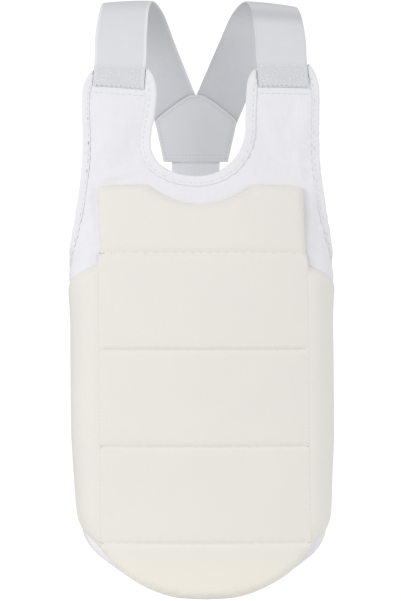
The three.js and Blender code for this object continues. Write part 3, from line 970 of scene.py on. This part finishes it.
flat = pattern_of(chest)
s, z, d = flat.T
away = seam_distance(z)
nearest_seam = np.abs(z[:, None] - SEAM_HEIGHTS).argmin(axis=1)
press = SEAM_DEPTHS[nearest_seam] * np.exp(-(away / SEAM_WIDTH) ** 2)
drift = PUCKER_SWING * np.sin(s / PUCKER_DRIFT) + PUCKER_STAGGER * z
wobble = np.sin(2 * math.pi * s / PUCKER_PITCH + drift)
press += PUCKER_HEIGHT * wobble * np.exp(-(away / PUCKER_REACH) ** 2)
press *= gentle(SEAM_HALF_WIDTH - np.abs(s), *SEAM_ENDS)
for seam, side in SEAM_END_DIMPLES:
    from_knot = (s - side * (SEAM_HALF_WIDTH - DIMPLE_IN)) ** 2 + (z - SEAM_HEIGHTS[seam]) ** 2
    press += DIMPLE_DEPTH * np.exp(-from_knot / DIMPLE_RADIUS ** 2)
press *= np.clip(d / PAD_THICK * 2 - 1, 0, 1)
_, outward = on_body(s, z, d)
set_points(chest, points_of(chest) - press[:, None] * outward)
finish_piece(chest, "ivory_cover", "chest_pad")
print("chest pad faces:", len(chest.data.polygons))

# %% [markdown]
# The wings are the same foam and cover without the cross seams. They roll down gently at the top,
# foot and rear, and only a little where they meet the chest pad, because one row of stitches joins
# the two covers there.

# %% Wing pads
WING_THICK, WING_FAR, WING_FOOT = 12 * MM, 9.6 * MM, 7 * MM
THINS_FROM, THINS_TO = 3 * MM, 27 * MM
FOOT_FROM, FOOT_TO = 430 * MM, 505 * MM
WING_RIM_LOW, WING_REAR_LOW = 7 * MM, 3 * MM
WING_RIM_ROLL, WING_FOOT_ROLL = 11 * MM, 24 * MM
LOWER_FROM, LOWER_TO = 360 * MM, 460 * MM
WING_SWELL = 0.8 * MM


def make_wing(name, side):
    outline = wing_outline(side)

    def height(s, z, d):
        across = np.abs(s)
        beyond = across - WING_FRONT
        off = nearest_on(outline, np.stack([s, z], axis=1), closed=False)[1]
        far = WING_FAR - (WING_FAR - WING_FOOT) * gentle(-z, FOOT_FROM, FOOT_TO)
        full = WING_THICK - (WING_THICK - far) * gentle(beyond, THINS_FROM, THINS_TO)
        lower = gentle(-z, LOWER_FROM, LOWER_TO)
        thin = np.maximum(gentle(across, REAR_FROM, REAR_TO), lower)
        low = WING_RIM_LOW - (WING_RIM_LOW - WING_REAR_LOW) * thin
        roll = WING_RIM_ROLL + (WING_FOOT_ROLL - WING_RIM_ROLL) * lower
        puff = rolled(off, low, full, roll)
        seam = rolled(np.maximum(beyond, 0), SIDE_LOW, WING_THICK, SIDE_ROLL)
        return np.where(d > WING_THICK / 2, PAD_LOW + np.minimum(puff, seam), underside(s, z))

    wing = pad_panel(f"{name}_cover", outline, WING_THICK, height)
    flat = pattern_of(wing)
    sewn = (flat[:, 2] < WING_THICK / 2) | (nearest_on(outline, flat[:, :2])[1] < SEWN_EDGE)
    swell = WING_SWELL * gentle(np.abs(flat[:, 0]) - WING_FRONT, *FLUSH)
    plump(wing, sewn, PRESSURE, swell)
    modify(wing, "SUBSURF", levels=1, render_levels=1)
    finish_piece(wing, "ivory_cover", name)
    return wing


wings = [make_wing("wing_pad_left", 1), make_wing("wing_pad_right", -1)]
print("wing faces:", [len(wing.data.polygons) for wing in wings])

# %% [markdown]
# ## Straps
# Elastic webbing is a flat ribbon, so it is a grid laid between the paths of its two edges. The
# straps start on the bib's tabs, go over the shoulders and meet under the yoke. Solidify gives the
# ribbon its thickness and Bevel rounds its selvedges.

# %% Laying a ribbon between two edges
STRAP_WIDTH, STRAP_THICK, STRAP_BOW = 50 * MM, 1.5 * MM, 0.9 * MM
ACROSS_STEP, ALONG_STEP = 1.25 * MM, 2.0 * MM
SELVEDGE_ROUND = 0.5 * MM
SLANT_REACH = 40 * MM
SCALLOP, SCALLOPS, SCALLOP_REACH = 0.8 * MM, 10, 5 * MM
SEWN_DOWN, SEWN_REACH = 0.5 * MM, 14 * MM


class Ribbon:
    """A strap's outer course: where a point across and along it lies in space."""

    def __init__(self, first_edge, second_edge, bow, slant=0.0, ends_sewn=0):
        first_edge, second_edge = np.array(first_edge), np.array(second_edge)
        knots = lengths_along((first_edge + second_edge) / 2)
        self.length = knots[-1]
        self.rows = round(self.length / ALONG_STEP)
        at = np.linspace(0, self.length, self.rows + 1)
        self.first = spline(knots, first_edge, at)
        self.second = spline(knots, second_edge, at)
        along = np.gradient(self.first + self.second, axis=0)
        out = np.cross(self.second - self.first, along)
        self.out = out / np.linalg.norm(out, axis=1)[:, None]
        self.bow = bow
        self.slant = slant
        self.ends_sewn = ends_sewn

    def scallop(self, u, v):
        """Rows by which the cut end is drawn in at each stitch of its zigzag."""
        near = np.clip(1 - v * self.length / SCALLOP_REACH, 0, 1)
        drawn = SCALLOP * self.ends_sewn * near * (1 - np.abs(np.sin(math.pi * SCALLOPS * u)))
        return drawn / self.length * self.rows

    def at(self, u, v, lift=0.0):
        """u runs from 0 to 1 across, v from 0 to 1 along, and lift is off the inner face."""
        u, v = np.asarray(u, float), np.asarray(v, float)
        rows = np.arange(self.rows + 1)
        fade = np.clip(1 - v * self.length / SLANT_REACH, 0, 1)
        where = (v + self.slant / self.length * (1 - u) * fade) * self.rows
        where = where + self.scallop(u, v)
        a, b, out = (read_between(rows, table, where) for table in (self.first, self.second, self.out))
        u = u[:, None]
        pressed = SEWN_DOWN * self.ends_sewn * np.clip(1 - v * self.length / SEWN_REACH, 0, 1)
        crown = self.bow * (1 - (2 * u - 1) ** 2) - pressed[:, None]
        return a + (b - a) * u + out * (crown + lift), out


def lay_ribbon(name, ribbon, thickness):
    piece = add_grid(name, round(STRAP_WIDTH / ACROSS_STEP), ribbon.rows)
    u, v, _ = (points_of(piece) + 0.5).T
    set_pattern(piece, np.stack([(u - 0.5) * STRAP_WIDTH, v * ribbon.length, 0 * u], axis=1))
    set_points(piece, ribbon.at(u, v)[0])
    thicken(piece, thickness)
    modify(piece, "BEVEL", width=SELVEDGE_ROUND, segments=2, limit_method="ANGLE")
    return piece


# %% Shoulder straps
STRAP_HEIGHTS = MM * np.array([-92.5, -76, -62])
STRAP_FOOT = {
    # how far out each edge lies at those heights: sewn end, turn, and where it leaves the tab
    "inner": MM * np.array([57.5, 56, 54.8]),
    "outer": MM * np.array([109, 108, 107]),
}
SHOULDER_ROUTE = {
    # the +X strap's edges from the tab to the yoke: in front, rising, crest, behind, blade, above;
    # the height of the outer edge at the crest is each strap's own
    "inner": [
        (54, -48, -36), (51.5, -29, -10), (46.5, 0, 0), (35.5, 32, -9), (23.3, 58, -36), (10.3, 73, -66),
    ],
    "outer": [
        (105.5, -38, -38), (101.5, -22, -13), (97, 0, 0), (87, 30, -16), (72.5, 56, -49),
        (56.5, 70, -85),
    ],
}
YOKE_ENTRY = {
    # the last points: how far out, how high, and how far off the upper back
    "inner": [(3.3, -82.5, -1.5), (0.7, -89.5, 0), (0.6, -127, 0)],
    "outer": [(47.4, -106.7, -0.85), (43.5, -116, 0), (38, -131, 0)],
}
CREST_ROW = 2
BACK_Y, BACK_Z, BACK_SLOPE, BACK_RADIUS = 81 * MM, -90 * MM, 0.1, 200 * MM


def on_upper_back(x, z, d):
    """Points on the upper back, where the yoke lies: d is outwards, towards +Y."""
    x, z, d = np.broadcast_arrays(*(np.asarray(v, float) for v in (x, z, d)))
    y = BACK_Y + BACK_SLOPE * (BACK_Z - z) - x * x / (2 * BACK_RADIUS) + d
    return np.stack([x, y, z], axis=-1)


def shoulder_edge(side, name, end, crest):
    tab = on_body(side * STRAP_FOOT[name], np.array([end, *STRAP_HEIGHTS[1:]]), PAD_LOW)[0]
    route = MM * np.array(SHOULDER_ROUTE[name]) * (side, 1, 1)
    if name == "outer":
        route[CREST_ROW, 2] = crest
    out, height, off = MM * np.array(YOKE_ENTRY[name]).T
    return np.concatenate([tab, route, on_upper_back(side * out, height, off)])


STRAP_SIDES = [
    # name, side, height of the end, rise of its outer corner, outer edge's height at the crest, finish
    # the wearer's left strap takes the darker copy of the elastic, its painted shade
    ("left", 1, -91 * MM, 0.0, -5.8 * MM, "shaded_elastic"),
    ("right", -1, -94 * MM, 4.5 * MM, -2.4 * MM, "white_elastic"),
]
shoulder_ribbons = {}
for name, side, end, slant, crest, elastic in STRAP_SIDES:
    edges = [shoulder_edge(side, edge, end, crest) for edge in ("inner", "outer")][::side]
    ribbon = Ribbon(*edges, STRAP_BOW, slant, ends_sewn=1)
    shoulder_ribbons[side] = ribbon
    strap = lay_ribbon(f"shoulder_strap_{name}_webbing", ribbon, STRAP_THICK)
    finish_piece(strap, elastic, f"shoulder_strap_{name}", slot="white_elastic")
    print(strap.name, "length:", round(ribbon.length, 3))

# %% [markdown]
# The back strap and the waist band are the same webbing. The picture shows only the top of the back
# strap, so the rest takes the plain way down the spine to the band, and the band runs across the
# back with its ends inside the wings.

# %% Back strap and waist band
BACK_STRAP_BOW = 1.6 * MM
YOKE_FOOT = -158.5 * MM
BAND_TOP, BAND_FOOT, BAND_OVERLAP = -397 * MM, -447 * MM, 18 * MM
BACK_TOP, BACK_MEETS, BACK_FOOT = -136 * MM, -387 * MM, -445 * MM
BACK_KNOTS, BAND_POINTS = 4, 41


def back_edge(side):
    heights = np.concatenate([
        [BACK_TOP], np.linspace(YOKE_FOOT, BACK_MEETS, BACK_KNOTS),
        [(BACK_MEETS + BACK_FOOT) / 2, BACK_FOOT],
    ])
    half = STRAP_WIDTH / 2
    rows = []
    for z in heights:
        high = on_upper_back(side * half, max(z, YOKE_FOOT), 0)
        low = on_body([side * (half_girth(z) - half)], [z], 0)[0][0]
        share = gentle(YOKE_FOOT - z, 0, YOKE_FOOT - BACK_MEETS)
        rows.append([*(high + (low - high) * share)[:2], z])
    return rows


back_ribbon = Ribbon(back_edge(-1), back_edge(1), BACK_STRAP_BOW)
back = lay_ribbon("back_strap_webbing", back_ribbon, STRAP_THICK)
# the back strap takes the lighter copy of the elastic, its painted light; the waist band keeps the plain
# one
finish_piece(back, "lit_back_elastic", "back_strap", slot="white_elastic")

band_girth = half_girth((BAND_TOP + BAND_FOOT) / 2)
band_half = band_girth - REAR_EDGE[0, 0] + BAND_OVERLAP
band_u = np.linspace(-band_half, band_half, BAND_POINTS)
band_s = np.where(band_u < 0, band_girth + band_u, band_u - band_girth)
BAND_INSIDE = -SEAM_CLEARANCE - STRAP_THICK
band_ribbon = Ribbon(
    on_body(band_s, BAND_TOP, BAND_INSIDE)[0], on_body(band_s, BAND_FOOT, BAND_INSIDE)[0], bow=0,
)
band = lay_ribbon("waist_band_webbing", band_ribbon, STRAP_THICK)
finish_piece(band, "white_elastic", "waist_band")
print("back strap and band lengths:", round(back_ribbon.length, 3), round(band_ribbon.length, 3))

# %% [markdown]
# ## Yoke
# Two five-sided patches hold the strap ends between them. A five-cornered disc is pulled to the
# pattern's corners, the corners are rounded by a vertex bevel, and the patch is cut into strips so
# that it can bend over the back. The thickened edge gets a small bevel, as a turned-in hem has.

# %% Yoke patches
YOKE_CORNERS = MM * np.array([
    (33.5, -158.5), (43, -115.6), (0, -85), (-43, -115.6), (-33.5, -158.5),
])
PATCH_THICK, PATCH_STRIP, STRIP_SHIFT = 1.3 * MM, 1.8 * MM, 0.4 * MM
PATCH_REACH = 45 * MM, 160 * MM
PATCH_ROUNDS = [
    # from height, up to height, how far along the edges the rounding starts
    (-100 * MM, -80 * MM, 12 * MM),
    (-120 * MM, -112 * MM, 4 * MM),
]
HEM_RISE, HEM_ROUND, HEM_FROM, HEM_TO = 0.45 * MM, 0.45 * MM, 2.6 * MM, 4.4 * MM
SEWN_ON_FROM, SEWN_ON_TO = 128 * MM, 156 * MM
BULGE, BULGE_AT, BULGE_HEIGHTS = 2.0 * MM, 21.5 * MM, (-140 * MM, -104 * MM)


def sewn_on_strap(x, z, low):
    """The inner patch's foot is drawn back onto the bowed face of the back strap."""
    if low > 0:
        return 0
    across = np.clip(2 * np.abs(x) / STRAP_WIDTH, 0, 1)
    return BACK_STRAP_BOW * (1 - across ** 2) * gentle(-z, SEWN_ON_FROM, SEWN_ON_TO)


def make_patch(name, low):
    bpy.ops.object.select_all(action="DESELECT")
    bpy.ops.mesh.primitive_circle_add(vertices=5, radius=1, fill_type="NGON")
    patch = bpy.context.object
    patch.name = patch.data.name = f"{name}_cloth"
    order = np.argsort(np.arctan2(*points_of(patch)[:, 1::-1].T))
    corners = YOKE_CORNERS - YOKE_CORNERS.mean(axis=0)
    wanted = np.argsort(np.arctan2(corners[:, 1], corners[:, 0]))
    points = np.zeros((5, 3))
    points[order, :2] = YOKE_CORNERS[wanted]
    set_points(patch, points)
    only(patch)
    bpy.ops.object.mode_set(mode="EDIT")
    bpy.ops.mesh.select_mode(type="VERT")
    for low_end, high_end, offset in PATCH_ROUNDS:
        bpy.ops.mesh.select_all(action="DESELECT")
        bpy.ops.object.mode_set(mode="OBJECT")
        heights = points_of(patch)[:, 1]
        patch.data.vertices.foreach_set("select", (heights > low_end) & (heights < high_end))
        bpy.ops.object.mode_set(mode="EDIT")
        bpy.ops.mesh.bevel(affect="VERTICES", offset=offset, segments=6)
    for axis, reach in enumerate(PATCH_REACH):
        for at in np.arange(-reach, reach, PATCH_STRIP) + STRIP_SHIFT:
            place, way = [0.0, 0.0, 0.0], [0.0, 0.0, 0.0]
            place[axis], way[axis] = float(at), 1.0
            bpy.ops.mesh.select_all(action="SELECT")
            bpy.ops.mesh.bisect(plane_co=place, plane_no=way)
    bpy.ops.object.mode_set(mode="OBJECT")
    points = points_of(patch)
    x, z, _ = points.T
    points[:, 1] += BULGE * (1 - (np.abs(x) / BULGE_AT - 1) ** 2) * gentle(z, *BULGE_HEIGHTS)
    set_points(patch, points)
    outline = points[at_rim(patch), :2]
    from_middle = outline - outline.mean(axis=0)
    outline = outline[np.argsort(np.arctan2(from_middle[:, 1], from_middle[:, 0]))]
    modify(patch, "SOLIDIFY", thickness=PATCH_THICK, offset=1)
    modify(patch, "BEVEL", width=HEM_ROUND, segments=2, limit_method="ANGLE")
    flat = points_of(patch)
    set_pattern(patch, flat)
    hem = HEM_RISE * (1 - gentle(nearest_on(outline, flat[:, :2])[1], HEM_FROM, HEM_TO))
    shown = (flat[:, 2] > PATCH_THICK / 2) == (low > 0)
    rise = np.where(shown, np.sign(low) * hem, 0)
    x, z, d = flat.T
    set_points(patch, on_upper_back(x, z, low + d + rise + sewn_on_strap(x, z, low)))
    return patch, outline


PATCHES = [
    # name, how far off the upper back its inner side lies
    ("yoke_patch_inner", -SEAM_CLEARANCE - PATCH_THICK),
    ("yoke_patch_outer", STRAP_THICK + STRAP_BOW),
]
for name, low in PATCHES:
    patch, yoke_outline = make_patch(name, low)
    face_outward(patch)
    finish_piece(patch, "patch_cloth", name)
    print(patch.name, "faces:", len(patch.data.polygons))

# %% [markdown]
# ## Bindings
# The raw edges round the neck and the armholes are wrapped in a folded tape. Its section is a U:
# along the front, round the edge and back. The tape is a grid laid on that U along the edge, still
# flat, so the stretch under the strap can be cut away before it is bent with the bib.

# %% Folded tapes
TAPE_THICK = 0.42 * MM
TAPE_REST = 0.06 * MM
TAPE_ACROSS = 16
TAPE_PUCKER, TAPE_PUCKER_PITCH = 0.5 * MM, 8.5 * MM
TAPE_SWING, TAPE_DRIFT, TAPE_FADE = 1.7, 31 * MM, 13 * MM
HUG_FROM = 1 * MM
FOLD_RADIUS = CLOTH / 2 + SEAM_CLEARANCE
FOOT_LOW = -90 * MM


def tape_section(u, width):
    """Inward distance from the edge and height off the cloth, from the front run to the back run."""
    arc = math.pi * FOLD_RADIUS
    along = u * (2 * width + arc)
    turn = np.clip((along - width) / FOLD_RADIUS, 0, math.pi)
    inward = np.maximum(width - along, along - width - arc)
    inward = np.where((turn > 0) & (turn < math.pi), -FOLD_RADIUS * np.sin(turn), inward)
    hug = (SEAM_CLEARANCE - TAPE_REST) * gentle(inward, HUG_FROM, width)
    return inward, CLOTH / 2 + (FOLD_RADIUS - hug) * np.cos(turn)


def under_strap(s, z):
    across = np.abs(s)
    inner, outer = (np.interp(z, STRAP_HEIGHTS, STRAP_FOOT[edge]) for edge in ("inner", "outer"))
    return (across > inner - SEAM_CLEARANCE) & (across < outer + SEAM_CLEARANCE) & (z > FOOT_LOW)


def beside(path, distance):
    """The path moved to its left."""
    along = np.gradient(path, axis=0)
    along /= np.linalg.norm(along, axis=1)[:, None]
    return path + distance * np.stack([-along[:, 1], along[:, 0]], axis=1)


def make_binding(name, path, width):
    rows = len(path) - 1
    tape = add_grid(f"{name}_tape", TAPE_ACROSS, rows)
    u, v, _ = (points_of(tape) + 0.5).T
    inward, height = tape_section(u, width)
    row = np.rint(v * rows).astype(int)
    along = lengths_along(path)[row]
    left = beside(path, 1.0) - path
    flat = path[row] + left[row] * inward[:, None]
    ripple = np.sin(2 * math.pi * along / TAPE_PUCKER_PITCH + TAPE_SWING * np.sin(along / TAPE_DRIFT))
    ripple *= 0.6 + 0.4 * np.sin(along / TAPE_FADE + 1.0)
    height = height + (u < 0.5) * TAPE_PUCKER * ripple * np.clip(inward / width, 0, 1)
    set_points(tape, np.column_stack([flat, height]))
    delete_faces(tape, under_strap(*face_centres(tape)[:, :2].T))
    flat = points_of(tape)
    set_points(tape, on_body(flat[:, 0], flat[:, 1], bib_height(*flat.T))[0])
    set_pattern(tape, flat)
    front = flat[:, 2] > CLOTH
    normals = np.zeros(len(tape.data.vertices) * 3, np.float32)
    tape.data.vertices.foreach_get("normal", normals)
    outward = on_body(flat[:, 0], flat[:, 1], 0)[1]
    faces_out = (normals.reshape(-1, 3)[front] * outward[front]).sum() > 0
    modify(tape, "SOLIDIFY", thickness=TAPE_THICK, offset=1 if faces_out else -1)
    face_outward(tape)
    finish_piece(tape, "white_cotton", name)
    flat_width = 2 * width + math.pi * FOLD_RADIUS


TAPES = [
    # name, edge, width, how far in from the edge it is sewn
    ("neck_binding", neck_edge, 9 * MM, 5.6 * MM),
    ("arm_binding_left", arm_edges[1], 6.9 * MM, 4.8 * MM),
    ("arm_binding_right", mirror(arm_edges[-1]), 6.9 * MM, 4.8 * MM),
]
for name, path, width, _ in TAPES:
    make_binding(name, path, width)
print("bindings made")

# %% [markdown]
# ## Stitching
# A stitch is a short grain of thread between two needle holes. One grain is modelled from a small
# ball, and a row of them follows a path on the cloth. Hundreds of grains as separate objects would
# be slow, so each row's copies are joined in one mesh by array sums.

# %% One stitch, repeated along a path
STITCH, STITCH_GAP = 3.0 * MM, 1.2 * MM
THREAD_WIDTH, THREAD_FLAT = 0.75 * MM, 0.8
bpy.ops.object.select_all(action="DESELECT")
bpy.ops.mesh.primitive_uv_sphere_add(segments=6, ring_count=5, radius=0.5)
grain = bpy.context.object
grain_points = points_of(grain)
grain_faces = [list(face.vertices) for face in grain.data.polygons]
bpy.data.objects.remove(grain)


def places_along(path, pitch, shift):
    """Evenly spaced places along a path, moved on by a share of the pitch."""
    knots = lengths_along(path)
    count = max(1, int(knots[-1] / pitch))
    return (np.arange(count) + 0.5 + shift) * knots[-1] / count, knots


def sew(name, rows, finish, stitch=STITCH, gap=STITCH_GAP, width=THREAD_WIDTH, shift=0.0):
    """rows holds pairs of points on the surface and ways outward; all their stitches make one mesh."""
    points, faces, flats = [], [], []
    local = grain_points * (width, width * THREAD_FLAT, stitch)
    for path, outward in rows:
        at, knots = places_along(path, stitch + gap, shift)
        centre = read_between(knots, path, at)
        ahead = read_between(knots, path, at + stitch / 4)
        along = ahead - read_between(knots, path, at - stitch / 4)
        along /= np.linalg.norm(along, axis=1)[:, None]
        up = read_between(knots, outward, at)
        up -= along * (up * along).sum(axis=1)[:, None]
        up /= np.linalg.norm(up, axis=1)[:, None]
        across = np.cross(up, along)
        for i in range(len(at)):
            spot = centre[i] + local[:, :1] * across[i] + local[:, 1:2] * up[i] + local[:, 2:] * along[i]
            base = len(points) * len(grain_points)
            points.append(spot)
            flats.append(local + (0, at[i], 0))
            faces += [[base + k for k in face] for face in grain_faces]
    mesh = bpy.data.meshes.new(name)
    mesh.from_pydata(np.concatenate(points).tolist(), [], faces)
    piece = bpy.data.objects.new(name, mesh)
    scene.collection.objects.link(piece)
    set_pattern(piece, np.concatenate(flats))
    finish_piece(piece, finish, slot="white_cotton")
    print(name, "stitches:", len(points))


def body_row(path, height):
    """A row of stitches along a flat path, at a height off the cloth's inner face."""
    return on_body(path[:, 0], path[:, 1], height)


# %% Seams of the pad
SEAM_POINTS, SEAM_END_GAP, STITCH_RISE = 120, 3 * MM, 0.6 * MM
SEAM_FLOORS = PAD_LOW + SEAM_LOW - SEAM_DEPTHS
seam_s = np.linspace(-1, 1, SEAM_POINTS) * (SEAM_HALF_WIDTH - SEAM_END_GAP)
pad_rows = []
for seam, seam_floor in zip(SEAM_HEIGHTS, SEAM_FLOORS):
    line = np.stack([seam_s, np.full_like(seam_s, seam)], axis=1)
    pad_rows.append(body_row(line, seam_floor + STITCH_RISE))
sew("pad_seam_stitches", pad_rows, "ivory_thread")
# dark grains between the stitches: painted shade in the needle holes
sew(
    "pad_needle_hole_shades", pad_rows[1:3], "ivory_hole_shade",
    stitch=1.5 * MM, gap=2.7 * MM, width=1.3 * MM, shift=0.5,
)

SIDE_POINTS = 140
SIDE_SEAM = np.linspace(-271, -549, SIDE_POINTS) * MM
side_rows = []
for side in (1, -1):
    line = np.stack([np.full_like(SIDE_SEAM, side * SEAM_HALF_WIDTH), SIDE_SEAM], axis=1)
    side_rows.append(body_row(line, PAD_LOW + SIDE_LOW))
sew("side_seam_stitches", side_rows, "ivory_thread", stitch=2.6 * MM, gap=1.4 * MM, width=0.45 * MM)

# dark grains in the dimples at the seam ends: painted shade
SEAM_END_SHADE_SIZE, SEAM_END_SHADE_SINK = 1.5 * MM, 0.4 * MM
SEAM_END_SHADE_SPAN = MM * np.array([0.6, 2.6])
SEAM_END_SHADE_HEIGHT = PAD_LOW + SIDE_LOW - DIMPLE_DEPTH - SEAM_END_SHADE_SINK
seam_end_shade_rows = []
for seam, side in SEAM_END_DIMPLES:
    across = side * (SEAM_HALF_WIDTH - SEAM_END_SHADE_SPAN)
    path = np.stack([across, np.full(2, SEAM_HEIGHTS[seam])], axis=1)
    seam_end_shade_rows.append(body_row(path, SEAM_END_SHADE_HEIGHT))
sew("pad_seam_end_shades", seam_end_shade_rows, "dark_shade_grains", stitch=SEAM_END_SHADE_SIZE, gap=0.0, width=SEAM_END_SHADE_SIZE)

# %% Seams of the bindings
# heights of dark grains on the arm binding: painted shade of its puckers
ARM_TUCK_SHADES = MM * np.array([-122, -147, -162.5, -175])


def on_tape(line, width, sewn_in):
    u = (width - sewn_in) / (2 * width + math.pi * FOLD_RADIUS)
    top = tape_section(np.array([u]), width)[1] + TAPE_THICK
    return body_row(line, bib_height(*line.T, top))


tape_rows, tuck_shade_rows = [], []
for name, path, width, sewn_in in TAPES:
    line = beside(path, sewn_in)
    tape_rows.append(on_tape(line[~under_strap(*line.T)], width, sewn_in))
    if name == "arm_binding_right":
        for height in ARM_TUCK_SHADES:
            at = int(np.abs(line[:, 1] - height).argmin())
            tuck_shade_rows.append(on_tape(line[at - 1:at + 2], width, sewn_in))
# grey thread: painted shade along the binding rows
sew("binding_stitches", tape_rows, "shade_grey_thread", stitch=4.0 * MM, gap=1.4 * MM, width=0.6 * MM)
# dark grains: painted shade of the binding's puckers
sew("binding_tuck_shades", tuck_shade_rows, "dark_shade_grains", stitch=2.6 * MM, gap=0.0, width=0.9 * MM)

# %% Seams of the strap ends
def ribbon_row(ribbon, u, v):
    return ribbon.at(u, v, STRAP_THICK)


BOX_FOOT, BOX_TOP, BOX_SIDE = 4 * MM, 23 * MM, 3 * MM
ZIGZAG_TEETH, ZIGZAG_LOW, ZIGZAG_HIGH = 21, 0.8 * MM, 3.4 * MM
HOLES_IN, UNDER_END = 1.4 * MM, 6 * MM
EDGE_INSET, ROW_POINTS = 0.02, 40
run = np.linspace(0, 1, ROW_POINTS)
inset_run = np.linspace(EDGE_INSET, 1 - EDGE_INSET, ROW_POINTS)
strap_rows, zigzag_rows, hole_shade_rows = [], [], []
for ribbon in shoulder_ribbons.values():
    side_u = BOX_SIDE / STRAP_WIDTH
    foot_v, top_v = BOX_FOOT / ribbon.length, BOX_TOP / ribbon.length
    for u in (side_u, 1 - side_u):
        strap_rows.append(ribbon_row(ribbon, np.full_like(run, u), foot_v + (top_v - foot_v) * run))
    strap_rows.append(ribbon_row(ribbon, side_u + (1 - 2 * side_u) * run, np.full_like(run, top_v)))
    teeth = np.linspace(EDGE_INSET, 1 - EDGE_INSET, ZIGZAG_TEETH)
    swing = np.where(np.arange(ZIGZAG_TEETH) % 2, ZIGZAG_LOW, ZIGZAG_HIGH) / ribbon.length
    zigzag_rows.append(ribbon_row(ribbon, teeth, swing))
    hole_shade_rows.append(ribbon_row(ribbon, inset_run, np.full_like(run, HOLES_IN / ribbon.length)))
under_rows = []
for _, side, end, slant, *_ in STRAP_SIDES:
    inner, outer = STRAP_FOOT["inner"][0], STRAP_FOOT["outer"][0]
    line = np.stack([side * (inner + run * (outer - inner)), end - UNDER_END + slant * run], axis=1)
    under_rows.append(body_row(line, bib_height(*line.T, CLOTH)))
# a row of grey thread under each strap end: painted shade of the fold line there
sew("strap_fold_stitches", under_rows, "shade_grey_thread", stitch=5 * MM, gap=0.6 * MM, width=0.7 * MM)
sew("strap_box_stitches", strap_rows, "thread", stitch=2.4 * MM)
sew("strap_end_zigzag", zigzag_rows, "thread", stitch=3.2 * MM, gap=0.3 * MM)
# dark grains along the strap ends: painted shade in the needle holes
sew("strap_end_hole_shades", hole_shade_rows, "elastic_hole_shade", stitch=1.9 * MM, gap=3.1 * MM, width=1.6 * MM)

# %% Seams of the yoke and the band
FOOT_ROW_HALF, FOOT_ROW_UP, FOOT_ROW_RISE, FOOT_ROW_POINTS = 29 * MM, 7 * MM, 0.1 * MM, 60
BAND_INSET, BAND_ROW_GAP, BAND_ROW_POINTS = 0.06, 8 * MM, 60
YOKE_STITCH_IN = 3.0 * MM
YOKE_EDGE_FROM = -116 * MM
closed = np.concatenate([yoke_outline, yoke_outline[:1]])
upper = yoke_outline[yoke_outline[:, 1] > YOKE_EDGE_FROM]
yoke_rows, edge_shadow_rows = [], []


def yoke_row(path, d, side):
    x, z = path.T
    spots = on_upper_back(x, z, d + sewn_on_strap(x, z, d))
    return spots, np.tile((0.0, float(side), 0.0), (len(path), 1))


foot_s = np.linspace(-FOOT_ROW_HALF, FOOT_ROW_HALF, FOOT_ROW_POINTS)
foot = np.stack([foot_s, np.full_like(foot_s, YOKE_FOOT + FOOT_ROW_UP)], axis=1)
for (_, low), side in zip(PATCHES, (-1, 1)):
    shown = low if side < 0 else low + PATCH_THICK
    yoke_rows.append(yoke_row(beside(closed, YOKE_STITCH_IN), shown + side * HEM_RISE, side))
    yoke_rows.append(yoke_row(foot, shown + side * FOOT_ROW_RISE, side))
    edge_shadow_rows.append(yoke_row(upper, shown + side * HEM_RISE / 2, side))
# grey thread: painted shade along the yoke's stitched rows
sew("yoke_stitches", yoke_rows, "shade_grey_thread", stitch=1.6 * MM, gap=1.8 * MM, width=0.9 * MM)
# a continuous dark line along the upper edges of the patches: the painted shadow of the gap between patch
# and strap
sew("yoke_edge_shadow_line", edge_shadow_rows, "dark_shade_grains", stitch=3.0 * MM, gap=-0.6 * MM, width=0.7 * MM)

across = np.linspace(BAND_INSET, 1 - BAND_INSET, BAND_ROW_POINTS)
band_rows = []
for end, way in ((EDGE_INSET, 1), (1 - EDGE_INSET, -1)):
    for shift in (0.0, BAND_ROW_GAP / band_ribbon.length):
        points, out = band_ribbon.at(across, np.full_like(across, end + way * shift))
        band_rows.append((points, -out))
sew("band_stitches", band_rows, "thread", stitch=2.4 * MM)

# %% [markdown]
# The last cell clears the selection.

# %% Clear the selection
bpy.ops.object.select_all(action="DESELECT")
